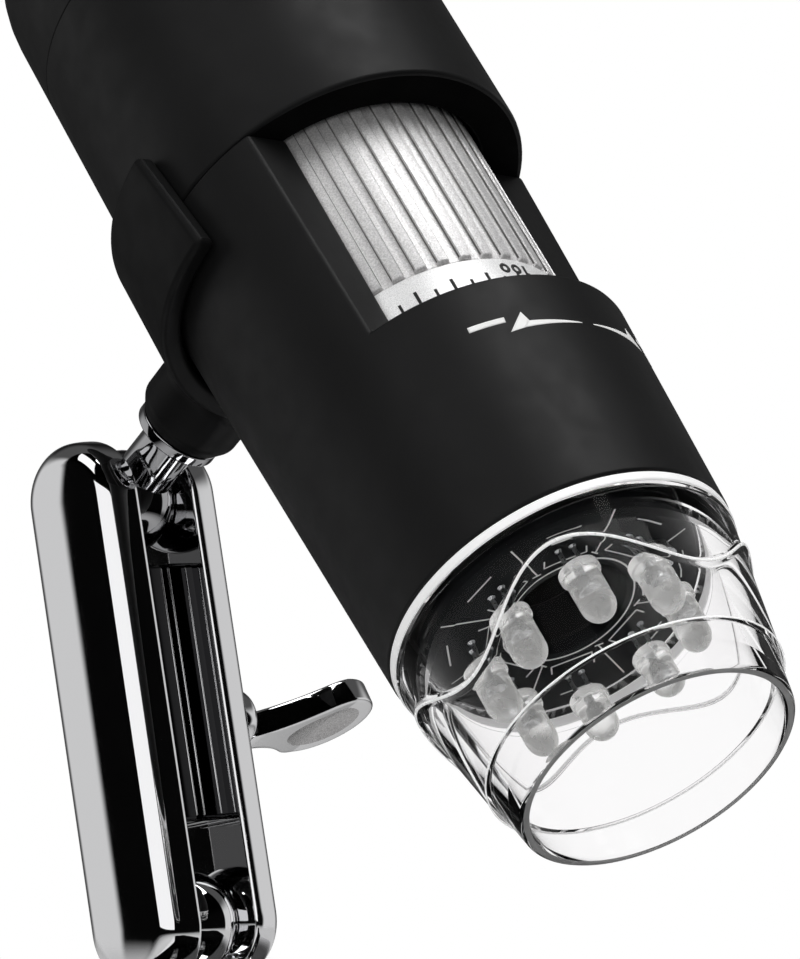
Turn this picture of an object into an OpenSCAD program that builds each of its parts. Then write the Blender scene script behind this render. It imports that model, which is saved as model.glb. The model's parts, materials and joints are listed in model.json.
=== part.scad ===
// Hand-held USB microscope on a chrome desk stand with two ball joints.
// The origin is in the middle of the base's underside: X runs to the front, Z is up.
// The microscope's own axis starts at the rim of its clear nose; a station is a distance along it.

/* [Base] */
// Length of the base plate, front to back
base_length = 92; // [80:1:120]
// Width of the base plate
base_width = 60; // [50:1:80]
// Thickness of the base plate
base_height = 6.5; // [6:0.5:10]
// Corner radius of the base plate, seen from above
base_corner = 16; // [8:1:24]
// Rounding of the base plate's upper edge
base_edge = 2; // [1:0.5:3]
// Thickness of the non-slip pad under the plate
pad_height = 1.2; // [0.8:0.1:2]
// How far the pad's edge stays inside the plate's edge
pad_inset = 3; // [1:0.5:6]
// How far the lower stud stands behind the middle of the plate
stud_back = 22; // [10:1:26]
// Height of the lower ball's centre over the plate
stud_rise = 12; // [11:0.5:16]
// Diameter of the lower stud's foot flange
foot_flange_d = 11; // [9:0.5:14]
// Thickness of the lower stud's foot flange
foot_flange_h = 1.6; // [1.2:0.1:2.5]
// Diameter of the spigot that turns in the plate
spigot_d = 6; // [5:0.5:8]
// Thickness of the friction washer under the foot flange
washer_h = 0.5; // [0.3:0.1:0.8]
// Head diameter of the screw that holds the stud from below
foot_screw_head_d = 8; // [7.5:0.5:10]
// Head height of that screw
foot_screw_head_h = 2; // [1.5:0.1:2.4]
// Shank diameter of that screw
foot_screw_d = 3; // [2.5:0.1:3.5]

/* [Ball joints] */
// Diameter of both balls
ball_d = 9.5; // [9:0.1:10.5]
// Diameter of the necks behind the balls
neck_d = 5.2; // [4:0.1:6]
// Distance from the upper ball's centre to the top of its stud's flange
flange_reach = 10; // [9.5:0.1:12]
// Diameter of the upper stud's flange
flange_d = 8; // [7:0.1:9]
// Thickness of the upper stud's flange
flange_h = 1.1; // [0.8:0.1:1.6]
// Diameter of the upper stud's threaded end
stud_thread_d = 4; // [3:0.1:4.5]
// Length of the upper stud's threaded end
stud_thread_l = 5; // [4:0.1:6]
// Play between a ball and its sockets
socket_play = 0.06; // [0.03:0.01:0.1]

/* [Arm] */
// Distance between the two ball centres
arm_span = 38.5; // [34:0.5:50]
// Depth of the arm, measured in the plane of the gap
arm_depth = 11; // [10.5:0.1:14]
// Width of the arm across both shells
arm_width = 15.5; // [13:0.1:17]
// Gap between the rims of the two shells
arm_gap = 7.2; // [6.6:0.1:8]
// Rounding of the shells' outer edges
shell_edge = 2; // [1:0.1:2.8]
// Length of the thick middle block inside each shell
block_length = 23.5; // [14:0.5:24]
// Distance of the blocks' middle from the arm's middle, towards the upper ball
block_rise = 1.2; // [0:0.1:1.5]
// Depth of the thick middle blocks
block_depth = 7.8; // [6.5:0.1:9]
// Gap between the two middle blocks when clamped
block_gap = 0.8; // [0.6:0.1:1.4]
// Lean of the arm to the back
arm_lean = 11.5; // [0:0.5:30]

/* [Thumb screw] */
// Diameter of the thumb screw's thread
thumb_d = 4; // [3:0.1:5]
// Diameter of the thumb screw's barrel
barrel_d = 5.8; // [5.2:0.1:7]
// Length of the thumb screw's barrel
barrel_l = 3.8; // [3:0.1:9]
// Diameter of the spade's round end
spade_d = 10; // [8:0.1:13]
// Distance from the barrel's outer end to the middle of the spade's round end
spade_reach = 10.9; // [7:0.1:13]
// Width of the spade's neck at the barrel
spade_neck = 2.6; // [2:0.1:5]
// Radius of the hollow curves between the spade's neck and its round end
spade_flare = 4; // [3:0.1:6]
// Thickness of the spade
spade_h = 2.4; // [1.8:0.1:3]
// Diameter of the thumb dish in the spade's faces
dish_d = 7.2; // [5:0.1:8]
// Depth of the thumb dish in each face
dish_h = 0.4; // [0.2:0.1:0.7]
// Distance of the thumb screw from the arm's middle, towards the lower ball
screw_drop = 1.1; // [0:0.1:2]
// Turn of the spade about the screw, from the arm's depth direction
spade_turn = 20; // [-90:1:90]

/* [Holder] */
// Distance from the upper ball's centre to the microscope's axis
scope_reach = 36; // [35:0.5:42]
// Tilt of the upper stud over the horizontal
head_tilt = 42.8; // [30:0.1:80]
// Swivel of the holder about the upper stud
head_spin = -9.2; // [-60:0.1:60]
// Station of the clip's middle along the microscope
clip_station = 62.8; // [60:0.1:70]
// Width of the clip along the microscope
clip_width = 12.2; // [10:0.1:14]
// Wall thickness of the clip
clip_wall = 1.9; // [1.5:0.1:2.5]
// Reach of the clip's near arm round the body, from the boss
clip_near = 86; // [80:1:100]
// Reach of the clip's far arm round the body, from the boss
clip_far = 106; // [95:1:112]
// Diameter of the clip's boss
boss_d = 9.6; // [9:0.1:11]
// Rounding of the boss's end
boss_edge = 1.4; // [0.6:0.1:2]
// Diameter of the threaded insert in the boss
insert_d = 6; // [5.5:0.1:7]

/* [Body] */
// Radius of the front housing's front edge
front_r = 15.65; // [15.5:0.05:17]
// Radius of the body behind the finger window
body_r = 17.5; // [17.3:0.1:19]
// Length of the front housing
front_length = 45; // [44:0.5:50]
// Length of the rear housing behind the wheel's rear bearing
rear_length = 18.9; // [18:0.1:26]
// Length of the top cap
cap_length = 21.4; // [18:0.2:28]
// Rounding of the top cap
cap_edge = 13; // [8:0.5:13]
// Wall thickness of the rear housing and the cap
wall = 1.9; // [1.6:0.1:2.2]
// Distance from the front edge to the finger window
window_start = 21.6; // [20:0.1:24]
// Distance of the window's flat sides from the axis
window_flat = 7.8; // [5:0.1:9]
// Turn of the window's middle about the axis, from the upper stud's direction
window_turn = -3.7; // [-20:0.1:20]
// Depth of the cap's spigot inside the rear housing
cap_spigot = 4; // [3:0.1:5]
// Wall thickness of the cap's spigot
cap_spigot_wall = 1.4; // [1:0.1:2]
// Thickness of the web that joins the cap to its spigot
cap_web = 1.6; // [1:0.1:3]
// Outer diameter of the cable gland
gland_d = 8.4; // [7:0.1:9]
// Height of the cable gland over the cap
gland_h = 2.4; // [1:0.1:4]
// Diameter of the cable hole
gland_bore = 4.2; // [3:0.1:5]

/* [Nose] */
// Length of the clear nose in front of the housing
nose_length = 18.1; // [17:0.1:22]
// Outer radius of the nose's rim
nose_rim_r = 12.2; // [11.5:0.1:12.5]
// Wall thickness of the nose's rim
nose_rim_wall = 0.9; // [0.7:0.1:1.4]
// Height of the plain lip at the rim
nose_lip = 4.3; // [3:0.1:6]
// Step of the outer surface over the lip
nose_step = 0.35; // [0.2:0.05:0.6]
// Height of the flange that meets the housing
nose_flange = 1.5; // [1:0.1:2.5]
// How far the flange stays inside the housing's edge
nose_inset = 0.25; // [0.1:0.05:0.6]
// Outer radius of the nose's spigot in the housing
nose_spigot_r = 13.65; // [13.5:0.05:13.8]
// Inner radius of the nose's spigot
nose_spigot_inner_r = 12.7; // [12.5:0.05:12.9]
// Depth of the nose's spigot in the housing
nose_spigot_l = 2.3; // [1.5:0.1:3]
// Thickness of the bulkhead behind the lamps
bulkhead_h = 2; // [1.6:0.1:3]

/* [Lamps] */
// Number of LED lamps
lamp_count = 8; // [4:1:8]
// Radius of the ring of lamps
lamp_ring = 8.6; // [8.2:0.1:9.2]
// Lamp diameter
lamp_d = 3; // [2.5:0.1:3.2]
// Lamp length from its flange to the top of its straight side
lamp_side = 3; // [2:0.1:4]
// Lamp flange thickness
lamp_flange_h = 0.8; // [0.5:0.1:1]
// How far a lamp's flange sticks out round it
lamp_flange_rim = 0.25; // [0.1:0.05:0.3]
// Length of the lamps' legs over the board
lamp_leg = 2.4; // [0.5:0.1:3]
// Diameter of a lamp's leg
lamp_leg_d = 0.5; // [0.4:0.05:0.6]
// Distance between a lamp's two legs
lamp_leg_gap = 1.27; // [1:0.05:1.5]
// Turn of the first lamp about the axis
lamp_turn = 4; // [0:1:44]
// How far the lamps' board stands out of the housing
board_recess = 0.8; // [0.4:0.1:1.2]
// Depth of the lamp board's screws in the bulkhead
led_screw_bite = 2; // [1.5:0.1:2.4]
// Thickness of every circuit board
board_h = 1.2; // [0.8:0.1:1.6]

/* [Focus] */
// Radius over the wheel's ridges
wheel_r = 13.4; // [13.2:0.05:13.6]
// Number of ridges on the wheel
ridge_count = 40; // [30:1:60]
// Depth of the grooves between the ridges
ridge_depth = 0.45; // [0.3:0.05:0.6]
// Radius of the wheel's scale band
band_r = 13.1; // [12.7:0.05:13.3]
// Station where the scale band ends and the ridges begin
band_end = 45; // [42:0.1:48]
// Radius of the wheel's journals
journal_r = 12.2; // [11.8:0.05:12.4]
// Length of each journal
journal_l = 3; // [2:0.1:3.5]
// Station of the wheel's drum's front face
drum_start = 36.7; // [36.5:0.1:38]
// Length of the wheel's drum
drum_length = 29.6; // [29:0.1:31]
// Radius of the wheel's hollow beside the threaded collar
wheel_hollow_r = 10.6; // [10:0.1:11]
// Length of the threaded collar inside the wheel
collar_l = 10; // [8:0.5:12]
// Radius of the lens carriage's threaded body
carriage_r = 9; // [8.8:0.1:9.6]
// Length of the carriage's threaded body
carriage_l = 18; // [16:0.5:19]
// Radius of the carriage's front barrel
lens_barrel_r = 5; // [4.8:0.1:5.1]
// Length of the carriage's front barrel
lens_barrel_l = 18; // [16:0.5:18.5]
// Radius of the light path through the carriage
light_r = 3.2; // [2.5:0.1:3.6]
// Radius of the objective lens
lens_r = 4.1; // [3.9:0.1:4.3]
// Edge thickness of the objective lens
lens_h = 1.6; // [1.2:0.1:2]
// Bulge of each face of the objective lens
lens_bulge = 0.5; // [0.3:0.05:0.7]
// Thickness of the lens's retaining ring
lens_ring_h = 0.8; // [0.5:0.1:1.2]
// Diameter of the guide rods
rod_d = 1.6; // [1.2:0.1:1.8]
// Distance of the guide rods from the axis
rod_ring = 7; // [6.9:0.1:7.2]

/* [Electronics] */
// Radius of the two round boards in the rear housing
board_r = 15.2; // [14.9:0.1:15.3]
// Height of the bosses that carry the sensor board
boss_h = 3.1; // [2.4:0.1:4]
// Diameter of those bosses and of the board spacers
spacer_d = 3.4; // [3:0.1:3.6]
// Length of the board spacers
spacer_l = 5.6; // [5:0.1:7]
// Distance of the board screws from the axis
spacer_ring = 13; // [12.9:0.05:13.1]
// Shank diameter of the small screws
small_screw_d = 1.6; // [1.2:0.1:1.8]
// Head diameter of the small screws
small_head_d = 2.8; // [2.4:0.1:3]
// Head height of the small screws
small_head_h = 1.2; // [0.8:0.1:1.3]
// Distance of the housing screws from the axis
housing_screw_ring = 15.2; // [15:0.05:15.4]
// Depth of the housing screws in the front housing
screw_bite = 5; // [4:0.1:7]
// Side of the square image sensor
sensor_side = 8.4; // [6:0.1:10]
// Height of the image sensor
sensor_h = 1.3; // [0.8:0.1:1.6]
// Side of the square control chip
chip_side = 7; // [5:0.1:9]
// Height of the control chip
chip_h = 1.1; // [0.8:0.1:1.4]
// Diameter of the snapshot button
button_d = 7; // [6:0.1:8]
// How far the button stands out of the body
button_proud = 0.6; // [0.4:0.1:1.2]
// Width of the rim that keeps the button inside
button_rim = 0.8; // [0.5:0.1:1]
// Thickness of that rim
button_rim_h = 0.8; // [0.6:0.1:1]
// Full press of the button
button_travel = 0.4; // [0.2:0.05:0.5]
// Turn of the button about the axis
button_turn = 90; // [70:1:110]
// Width of the snapshot switch
switch_w = 4; // [3:0.1:5]
// Depth of the snapshot switch towards the axis
switch_depth = 3; // [2:0.1:4]
// Height of the snapshot switch
switch_h = 3.2; // [2.5:0.1:4]

/* [Fits] */
// Running play of a shaft in its bore, at the radius
run_play = 0.08; // [0.05:0.01:0.1]
// Play of parts that are only put together, at the radius
seat_play = 0.1; // [0.05:0.01:0.2]
// Air between a turning part and what it passes
air = 0.4; // [0.3:0.05:0.5]

/* [Hidden] */
$fn = 96;
eps = 0.01;
through = 60;

// Heights on the stand
plate_z = pad_height;
plate_top = plate_z + base_height;
flange_z = plate_top + washer_h;
ball_r = ball_d / 2;
lower_ball = [-stud_back, 0, plate_top + stud_rise];
upper_ball = lower_ball + arm_span * [-sin(arm_lean), 0, cos(arm_lean)];

// Stations along the microscope, from the nose's rim
front_edge = nose_length;
window_edge = front_edge + window_start;
split = front_edge + front_length;
board_face = front_edge - board_recess;
bulkhead_front = board_face + board_h;
seat_end = front_edge + nose_spigot_l + 0.2;
bulkhead_end = seat_end + bulkhead_h;
wheel_front = drum_start - journal_l;
drum_end = drum_start + drum_length;
wheel_end = drum_end + journal_l;
bearing_front = drum_start - air;
bearing_rear = drum_end + air;
ring_end = bearing_rear + journal_l;
cap_seam = ring_end + rear_length;
cap_top = cap_seam + cap_length;
screw_seat = ring_end - 0.6;
sensor_face = ring_end + boss_h;
spacer_start = sensor_face + board_h;
control_face = spacer_start + spacer_l;
control_top = control_face + board_h;
drum_bore_r = wheel_r + air;
journal_bore_r = journal_r + run_play;
hollow_r = body_r - wall;
led_board_r = nose_spigot_inner_r - 0.3;
screw_hole_d = small_screw_d + 2 * seat_play;

// Focus train
collar_mid = (drum_start + drum_end) / 2;
carriage_start = collar_mid - carriage_l / 2;
lens_tip = carriage_start - lens_barrel_l;
lens_hole_r = lens_barrel_r + air;
rod_end = sensor_face;

// Places round the axis
spacer_turns = [30, 150, 270];
housing_screw_turns = [70, 110, 250, 290];
led_screw_turns = [lamp_turn + 22.5, lamp_turn + 202.5];
rod_turns = [90, 270];

// Snapshot button, along its own radius
button_station = control_face - switch_h / 2;
button_rim_top = sqrt(pow(hollow_r, 2) - pow(button_d / 2 + button_rim, 2)) - 0.2;
button_rim_bottom = button_rim_top - button_rim_h;
switch_tip = button_rim_bottom - button_travel - 0.05;
board_flat = button_rim_bottom - button_travel - air;

// End of the threaded insert, from the upper ball
insert_end = flange_reach + stud_thread_l + 0.5;

// Plastic, metal and glass tones
chrome = "#d7d9db";
black_plastic = "#1c1c1e";
dark_rubber = "#141414";
satin_silver = "#c4c5c6";
board_black = "#17191b";
steel = "#9a9da0";

// Places the children in the arm's frame: Z along the arm, X its depth, Y its width
module at_arm() {
    translate(lower_ball) rotate([0, -arm_lean, 0]) children();
}

// Places the children in the holder's frame: X along the upper stud, from its ball
module at_holder() {
    translate(upper_ball) rotate([head_spin, -head_tilt, 0]) children();
}

// Places the children on the microscope's axis: Z is the station, X points away from the stand
module at_scope() {
    at_holder() translate([scope_reach, 0, -clip_station]) children();
}

// A tube round Z between two stations
module ring(outer, inner, from, to) {
    difference() {
        translate([0, 0, from]) cylinder(r = outer, h = to - from);
        translate([0, 0, from - 1]) cylinder(r = inner, h = to - from + 2);
    }
}

// Copies the children round the axis at the given turns and radius
module round_axis(turns, radius) {
    for (turn = turns) rotate([0, 0, turn]) translate([radius, 0, 0]) children();
}

// A rectangle with round corners, centred
module round_rectangle(length, width, corner) {
    square([length - 2 * corner, width], center = true);
    square([length, width - 2 * corner], center = true);
    for (x = [-1, 1], y = [-1, 1])
        translate([x * (length / 2 - corner), y * (width / 2 - corner)]) circle(r = corner);
}

// A pan-head screw: its head starts at height zero and its shank hangs below
module small_screw(shank) {
    cylinder(d = small_head_d, h = small_head_h);
    translate([0, 0, -shank]) cylinder(d = small_screw_d, h = shank + eps);
}

// One corner of the base plate, with the rounded upper edge
module base_corner_post() {
    rotate_extrude($fn = 40) {
        square([base_corner, base_height - base_edge]);
        square([base_corner - base_edge, base_height]);
        intersection() {
            translate([base_corner - base_edge, base_height - base_edge])
                circle(r = base_edge, $fn = 32);
            square([base_corner, base_height]);
        }
    }
}

module base_plate() {
    color(chrome) difference() {
        translate([0, 0, plate_z]) hull()
            for (x = [-1, 1], y = [-1, 1])
                translate([x * (base_length / 2 - base_corner), y * (base_width / 2 - base_corner), 0])
                    base_corner_post();
        translate([-stud_back, 0, 0]) {
            cylinder(d = spigot_d + 2 * run_play, h = plate_top + 1);
            cylinder(d = foot_screw_head_d + 2 * air, h = plate_z + foot_screw_head_h + 2 * run_play);
        }
    }
}

module base_pad() {
    length = base_length - 2 * pad_inset;
    width = base_width - 2 * pad_inset;
    color(dark_rubber) linear_extrude(pad_height) round_rectangle(length, width, base_corner - pad_inset);
}

module friction_washer() {
    color(steel) translate([-stud_back, 0, 0])
        ring(foot_flange_d / 2, spigot_d / 2 + run_play, plate_top, flange_z);
}

module lower_ball_stud() {
    spigot_end = plate_z + foot_screw_head_h;
    color(chrome) translate([-stud_back, 0, 0]) difference() {
        union() {
            translate([0, 0, lower_ball[2]]) sphere(r = ball_r);
            translate([0, 0, flange_z]) cylinder(d = neck_d, h = stud_rise - washer_h);
            translate([0, 0, flange_z]) cylinder(d = foot_flange_d, h = foot_flange_h);
            translate([0, 0, spigot_end]) cylinder(d = spigot_d, h = flange_z - spigot_end + eps);
        }
        translate([0, 0, spigot_end - 1]) cylinder(d = foot_screw_d + 2 * seat_play, h = base_height);
    }
}

module foot_screw() {
    head_top = plate_z + foot_screw_head_h;
    color(steel) translate([-stud_back, 0, 0]) {
        translate([0, 0, plate_z]) cylinder(d = foot_screw_head_d, h = foot_screw_head_h);
        translate([0, 0, head_top - eps])
            cylinder(d = foot_screw_d, h = base_height - foot_screw_head_h);
    }
}

// Half of a shell's cross-section: X from the middle, Y out of the gap
module shell_half_section() {
    inner = arm_gap / 2;
    outer = arm_width / 2;
    half = arm_depth / 2;
    translate([0, inner]) square([half, outer - inner - shell_edge]);
    translate([0, inner]) square([half - shell_edge, outer - inner]);
    intersection() {
        translate([half - shell_edge, outer - shell_edge]) circle(r = shell_edge);
        translate([0, inner]) square([half, outer - inner]);
    }
}

// A shell with its block and its two sockets: Y runs along the arm, Z out of the gap
module shell_blank() {
    difference() {
        union() {
            translate([0, arm_span, 0]) rotate_extrude(angle = 180) shell_half_section();
            rotate([0, 0, 180]) rotate_extrude(angle = 180) shell_half_section();
            translate([0, arm_span, 0]) rotate([90, 0, 0]) linear_extrude(arm_span) {
                shell_half_section();
                mirror([1, 0]) shell_half_section();
            }
            translate([-block_depth / 2, (arm_span - block_length) / 2 + block_rise, block_gap / 2])
                cube([block_depth, block_length, (arm_gap - block_gap) / 2 + 0.2]);
        }
        for (y = [0, arm_span]) translate([0, y, 0]) sphere(r = ball_r + socket_play);
    }
}

module arm_left_shell() {
    color(chrome) at_arm() rotate([90, 0, 0]) difference() {
        shell_blank();
        translate([0, arm_span / 2 - screw_drop, -1])
            cylinder(d = thumb_d + 2 * run_play, h = arm_width / 2 - thumb_d / 4 + 1);
    }
}

module arm_right_shell() {
    color(chrome) at_arm() mirror([0, 1, 0]) rotate([90, 0, 0]) difference() {
        shell_blank();
        translate([0, arm_span / 2 - screw_drop, -1])
            cylinder(d = thumb_d + 2 * seat_play, h = arm_width);
    }
}

// The spade's outline: X runs out along the screw, and each side of the neck swings out in a hollow
// curve that stops just short of the round end's tangent
module spade_outline() {
    end_r = spade_d / 2;
    side = spade_neck / 2;
    run = sqrt(pow(end_r + spade_flare, 2) - pow(side + spade_flare, 2));
    bend = spade_reach - run;
    swing = 90 - atan2(side + spade_flare, run);
    curve = [for (step = [0:12]) let (turn = 0.95 * swing * step / 12)
        [bend + spade_flare * sin(turn), side + spade_flare * (1 - cos(turn))]];
    half = concat([[min(-1, bend - 0.5), side]], curve, [[spade_reach, 0.8 * end_r]]);
    translate([spade_reach, 0]) circle(d = spade_d);
    polygon(concat(half, [for (k = [len(half) - 1:-1:0]) [half[k][0], -half[k][1]]]));
}

module thumb_screw() {
    seat = arm_width / 2;
    barrel_end = seat + barrel_l;
    tip = arm_width / 2 - thumb_d / 4 - 0.4;
    color(chrome) at_arm() translate([0, 0, arm_span / 2 - screw_drop]) rotate([0, -spade_turn, 0]) {
        translate([0, -tip, 0]) rotate([-90, 0, 0]) cylinder(d = thumb_d, h = tip + seat + eps);
        translate([0, seat, 0]) rotate([-90, 0, 0]) cylinder(d = barrel_d, h = barrel_l);
        difference() {
            translate([0, barrel_end, -spade_h / 2]) rotate([0, 0, 90])
                linear_extrude(spade_h) spade_outline();
            for (side = [-1, 1])
                translate([0, barrel_end + spade_reach, side * spade_h / 2])
                    cylinder(d = dish_d, h = 2 * dish_h, center = true);
        }
    }
}

module upper_ball_stud() {
    color(chrome) at_holder() rotate([0, 90, 0]) {
        sphere(r = ball_r);
        cylinder(d = neck_d, h = flange_reach);
        translate([0, 0, flange_reach - flange_h]) cylinder(d = flange_d, h = flange_h);
        cylinder(d = stud_thread_d, h = flange_reach + stud_thread_l);
    }
}

// The boss's section round the upper stud's axis, with its rounded end
module boss_section(from, to) {
    radius = boss_d / 2;
    translate([0, from]) square([radius - boss_edge, to - from]);
    translate([0, from + boss_edge]) square([radius, to - from - boss_edge]);
    intersection() {
        translate([radius - boss_edge, from + boss_edge]) circle(r = boss_edge);
        translate([0, from]) square([radius, to - from]);
    }
}

// The sector that the clip's arms leave open: X points away from the boss
module clip_mouth() {
    reach = 2 * body_r;
    near = clip_near - 180;
    far = 180 - clip_far;
    linear_extrude(clip_width + 2, center = true) polygon(concat(
        [[0, 0]],
        [for (step = [0:8]) let (turn = near + (far - near) * step / 8) reach * [cos(turn), sin(turn)]]
    ));
}

module collar_clip() {
    clip_r = body_r + seat_play;
    boss_start = flange_reach + seat_play;
    boss_root = scope_reach - clip_r - clip_wall / 2;
    color(black_plastic) at_holder() difference() {
        union() {
            translate([scope_reach, 0, 0]) difference() {
                cylinder(r = clip_r + clip_wall, h = clip_width, center = true);
                clip_mouth();
            }
            rotate([0, 90, 0]) rotate_extrude() boss_section(boss_start, boss_root);
        }
        translate([scope_reach, 0, 0]) cylinder(r = clip_r, h = clip_width + 2, center = true);
        rotate([0, 90, 0]) translate([0, 0, boss_start - 1])
            cylinder(d = insert_d + 2 * seat_play, h = insert_end - boss_start + 1);
    }
}

module clip_insert() {
    color("#b08d57") at_holder() rotate([0, 90, 0])
        ring(insert_d / 2, stud_thread_d / 2 + run_play, flange_reach + 2 * seat_play, insert_end);
}

// A flat cut across one side of the body, from the window's front edge to the split
module finger_window() {
    rotate([0, 0, window_turn])
        translate([window_flat, -through / 2, window_edge]) cube([through, through, front_length]);
}

module front_housing() {
    color(black_plastic) at_scope() difference() {
        union() {
            difference() {
                translate([0, 0, front_edge]) cylinder(r1 = front_r, r2 = body_r, h = front_length);
                translate([0, 0, front_edge - 1])
                    cylinder(r = nose_spigot_r + seat_play, h = seat_end - front_edge + 1);
                translate([0, 0, bulkhead_end]) cylinder(r = drum_bore_r - 0.8, h = front_length);
                translate([0, 0, bearing_front]) cylinder(r = drum_bore_r, h = front_length);
            }
            translate([0, 0, bulkhead_front]) cylinder(r = led_board_r, h = bulkhead_end - bulkhead_front);
            ring(drum_bore_r, journal_bore_r, wheel_front - air, bearing_front);
        }
        finger_window();
        translate([0, 0, front_edge - 2]) cylinder(r = lens_hole_r, h = bulkhead_end);
        round_axis(rod_turns, rod_ring)
            translate([0, 0, bulkhead_end - 1.5]) cylinder(d = rod_d + 2 * seat_play, h = 2);
        round_axis(led_screw_turns, lamp_ring)
            translate([0, 0, bulkhead_front - 1]) cylinder(d = screw_hole_d, h = led_screw_bite + 1.4);
        round_axis(housing_screw_turns, housing_screw_ring)
            translate([0, 0, split - screw_bite - 1]) cylinder(d = screw_hole_d, h = screw_bite + 2);
    }
}

module rear_housing() {
    color(black_plastic) at_scope() difference() {
        union() {
            difference() {
                translate([0, 0, split]) cylinder(r = body_r, h = cap_seam - split);
                translate([0, 0, split - 1]) cylinder(r = drum_bore_r, h = bearing_rear - split + 1);
                translate([0, 0, split]) cylinder(r = journal_bore_r, h = cap_seam - split);
                translate([0, 0, ring_end]) cylinder(r = hollow_r, h = rear_length + 1);
            }
            round_axis(spacer_turns, spacer_ring)
                translate([0, 0, ring_end]) cylinder(d = spacer_d, h = boss_h);
        }
        round_axis(spacer_turns, spacer_ring)
            translate([0, 0, ring_end + 0.3]) cylinder(d = screw_hole_d, h = boss_h + 2);
        round_axis(housing_screw_turns, housing_screw_ring) {
            translate([0, 0, split - 1]) cylinder(d = screw_hole_d, h = screw_seat - split + 1.5);
            translate([0, 0, screw_seat]) cylinder(d = small_head_d + 2 * seat_play, h = rear_length + 1);
        }
        translate([0, 0, button_station]) rotate([0, 0, button_turn]) rotate([0, 90, 0])
            cylinder(d = button_d + 2 * seat_play, h = through);
    }
}

// The cap's section over the seam, made smaller by an inset and started at a height
module cap_section(inset, start) {
    radius = body_r - inset;
    edge = cap_edge - inset;
    translate([0, start]) square([radius, cap_length - cap_edge - start]);
    translate([0, start]) square([radius - edge, cap_length - inset - start]);
    intersection() {
        translate([radius - edge, cap_length - cap_edge]) circle(r = edge);
        square([radius, cap_length]);
    }
}

module top_cap() {
    spigot_r = hollow_r - seat_play;
    color(black_plastic) at_scope() difference() {
        union() {
            translate([0, 0, cap_seam]) rotate_extrude() cap_section(0, 0);
            translate([0, 0, cap_top - wall]) cylinder(d = gland_d, h = wall + gland_h);
            translate([0, 0, cap_seam - cap_spigot]) cylinder(r = spigot_r, h = cap_spigot + 1);
        }
        translate([0, 0, cap_seam]) rotate_extrude() cap_section(wall, cap_web);
        translate([0, 0, cap_seam - cap_spigot - 1])
            cylinder(r = spigot_r - cap_spigot_wall, h = cap_spigot + cap_web + 2);
        translate([0, 0, cap_top - 2 * wall]) cylinder(d = gland_bore, h = 3 * wall + gland_h);
    }
}

module clear_nose() {
    flange_r = front_r - nose_inset;
    flange_start = nose_length - nose_flange;
    rim_slope = (flange_r - nose_rim_r - nose_step) / flange_start;
    lip_r = nose_rim_r + nose_lip * rim_slope;
    spigot_end = front_edge + nose_spigot_l;
    color([0.86, 0.9, 0.92, 0.35]) at_scope() rotate_extrude() polygon([
        [nose_rim_r - nose_rim_wall, 0],
        [nose_rim_r, 0],
        [lip_r, nose_lip],
        [lip_r + nose_step, nose_lip],
        [flange_r - 0.1, flange_start],
        [flange_r, flange_start],
        [flange_r, front_edge],
        [nose_spigot_r, front_edge],
        [nose_spigot_r, spigot_end],
        [nose_spigot_inner_r, spigot_end],
        [nose_spigot_inner_r, flange_start - nose_flange]
    ]);
}

module led_board() {
    color(board_black) at_scope() difference() {
        translate([0, 0, board_face]) cylinder(r = led_board_r, h = board_h);
        translate([0, 0, board_face - 1]) cylinder(r = lens_hole_r, h = board_h + 2);
        round_axis(led_screw_turns, lamp_ring)
            translate([0, 0, board_face - 1]) cylinder(d = screw_hole_d, h = board_h + 2);
    }
}

// One LED lamp: it hangs from the board at height zero
module lamp() {
    flange_top = -lamp_leg;
    side_top = flange_top - lamp_flange_h + eps;
    for (side = [-1, 1]) translate([0, side * lamp_leg_gap / 2, flange_top - eps])
        cylinder(d = lamp_leg_d, h = lamp_leg + eps, $fn = 24);
    translate([0, 0, flange_top - lamp_flange_h])
        cylinder(r = lamp_d / 2 + lamp_flange_rim, h = lamp_flange_h);
    translate([0, 0, side_top - lamp_side]) cylinder(d = lamp_d, h = lamp_side);
    translate([0, 0, side_top - lamp_side]) sphere(d = lamp_d);
}

module led_lamps() {
    turns = [for (i = [0:lamp_count - 1]) lamp_turn + 360 * i / lamp_count];
    color("#f4f4ee") at_scope() translate([0, 0, board_face]) round_axis(turns, lamp_ring) lamp();
}

module led_screws() {
    color(steel) at_scope() round_axis(led_screw_turns, lamp_ring)
        translate([0, 0, board_face]) rotate([180, 0, 0]) small_screw(board_h + led_screw_bite);
}

// The ridges' outline: each ridge has a groove, two flanks and a crown
function ridge_points() = [
    for (i = [0:ridge_count - 1], p = [[0, 1], [0.14, 1], [0.3, 0.2], [0.57, 0], [0.84, 0.2]])
        let (turn = 360 * (i + p[0]) / ridge_count, radius = wheel_r - p[1] * ridge_depth)
            radius * [cos(turn), sin(turn)]
];

module focus_wheel() {
    color(satin_silver) at_scope() difference() {
        union() {
            translate([0, 0, wheel_front]) cylinder(r = journal_r, h = wheel_end - wheel_front);
            translate([0, 0, drum_start]) cylinder(r = band_r, h = band_end - drum_start);
            translate([0, 0, band_end - eps]) linear_extrude(drum_end - band_end + eps)
                polygon(ridge_points());
        }
        translate([0, 0, wheel_front - 1])
            cylinder(r = carriage_r + run_play, h = wheel_end - wheel_front + 2);
        translate([0, 0, wheel_front - 1])
            cylinder(r = wheel_hollow_r, h = collar_mid - collar_l / 2 - wheel_front + 1);
        translate([0, 0, collar_mid + collar_l / 2]) cylinder(r = wheel_hollow_r, h = drum_length);
    }
}

module guide_rods() {
    start = bulkhead_end - 1.5;
    color(steel) at_scope() round_axis(rod_turns, rod_ring)
        translate([0, 0, start]) cylinder(d = rod_d, h = rod_end - start);
}

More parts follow.
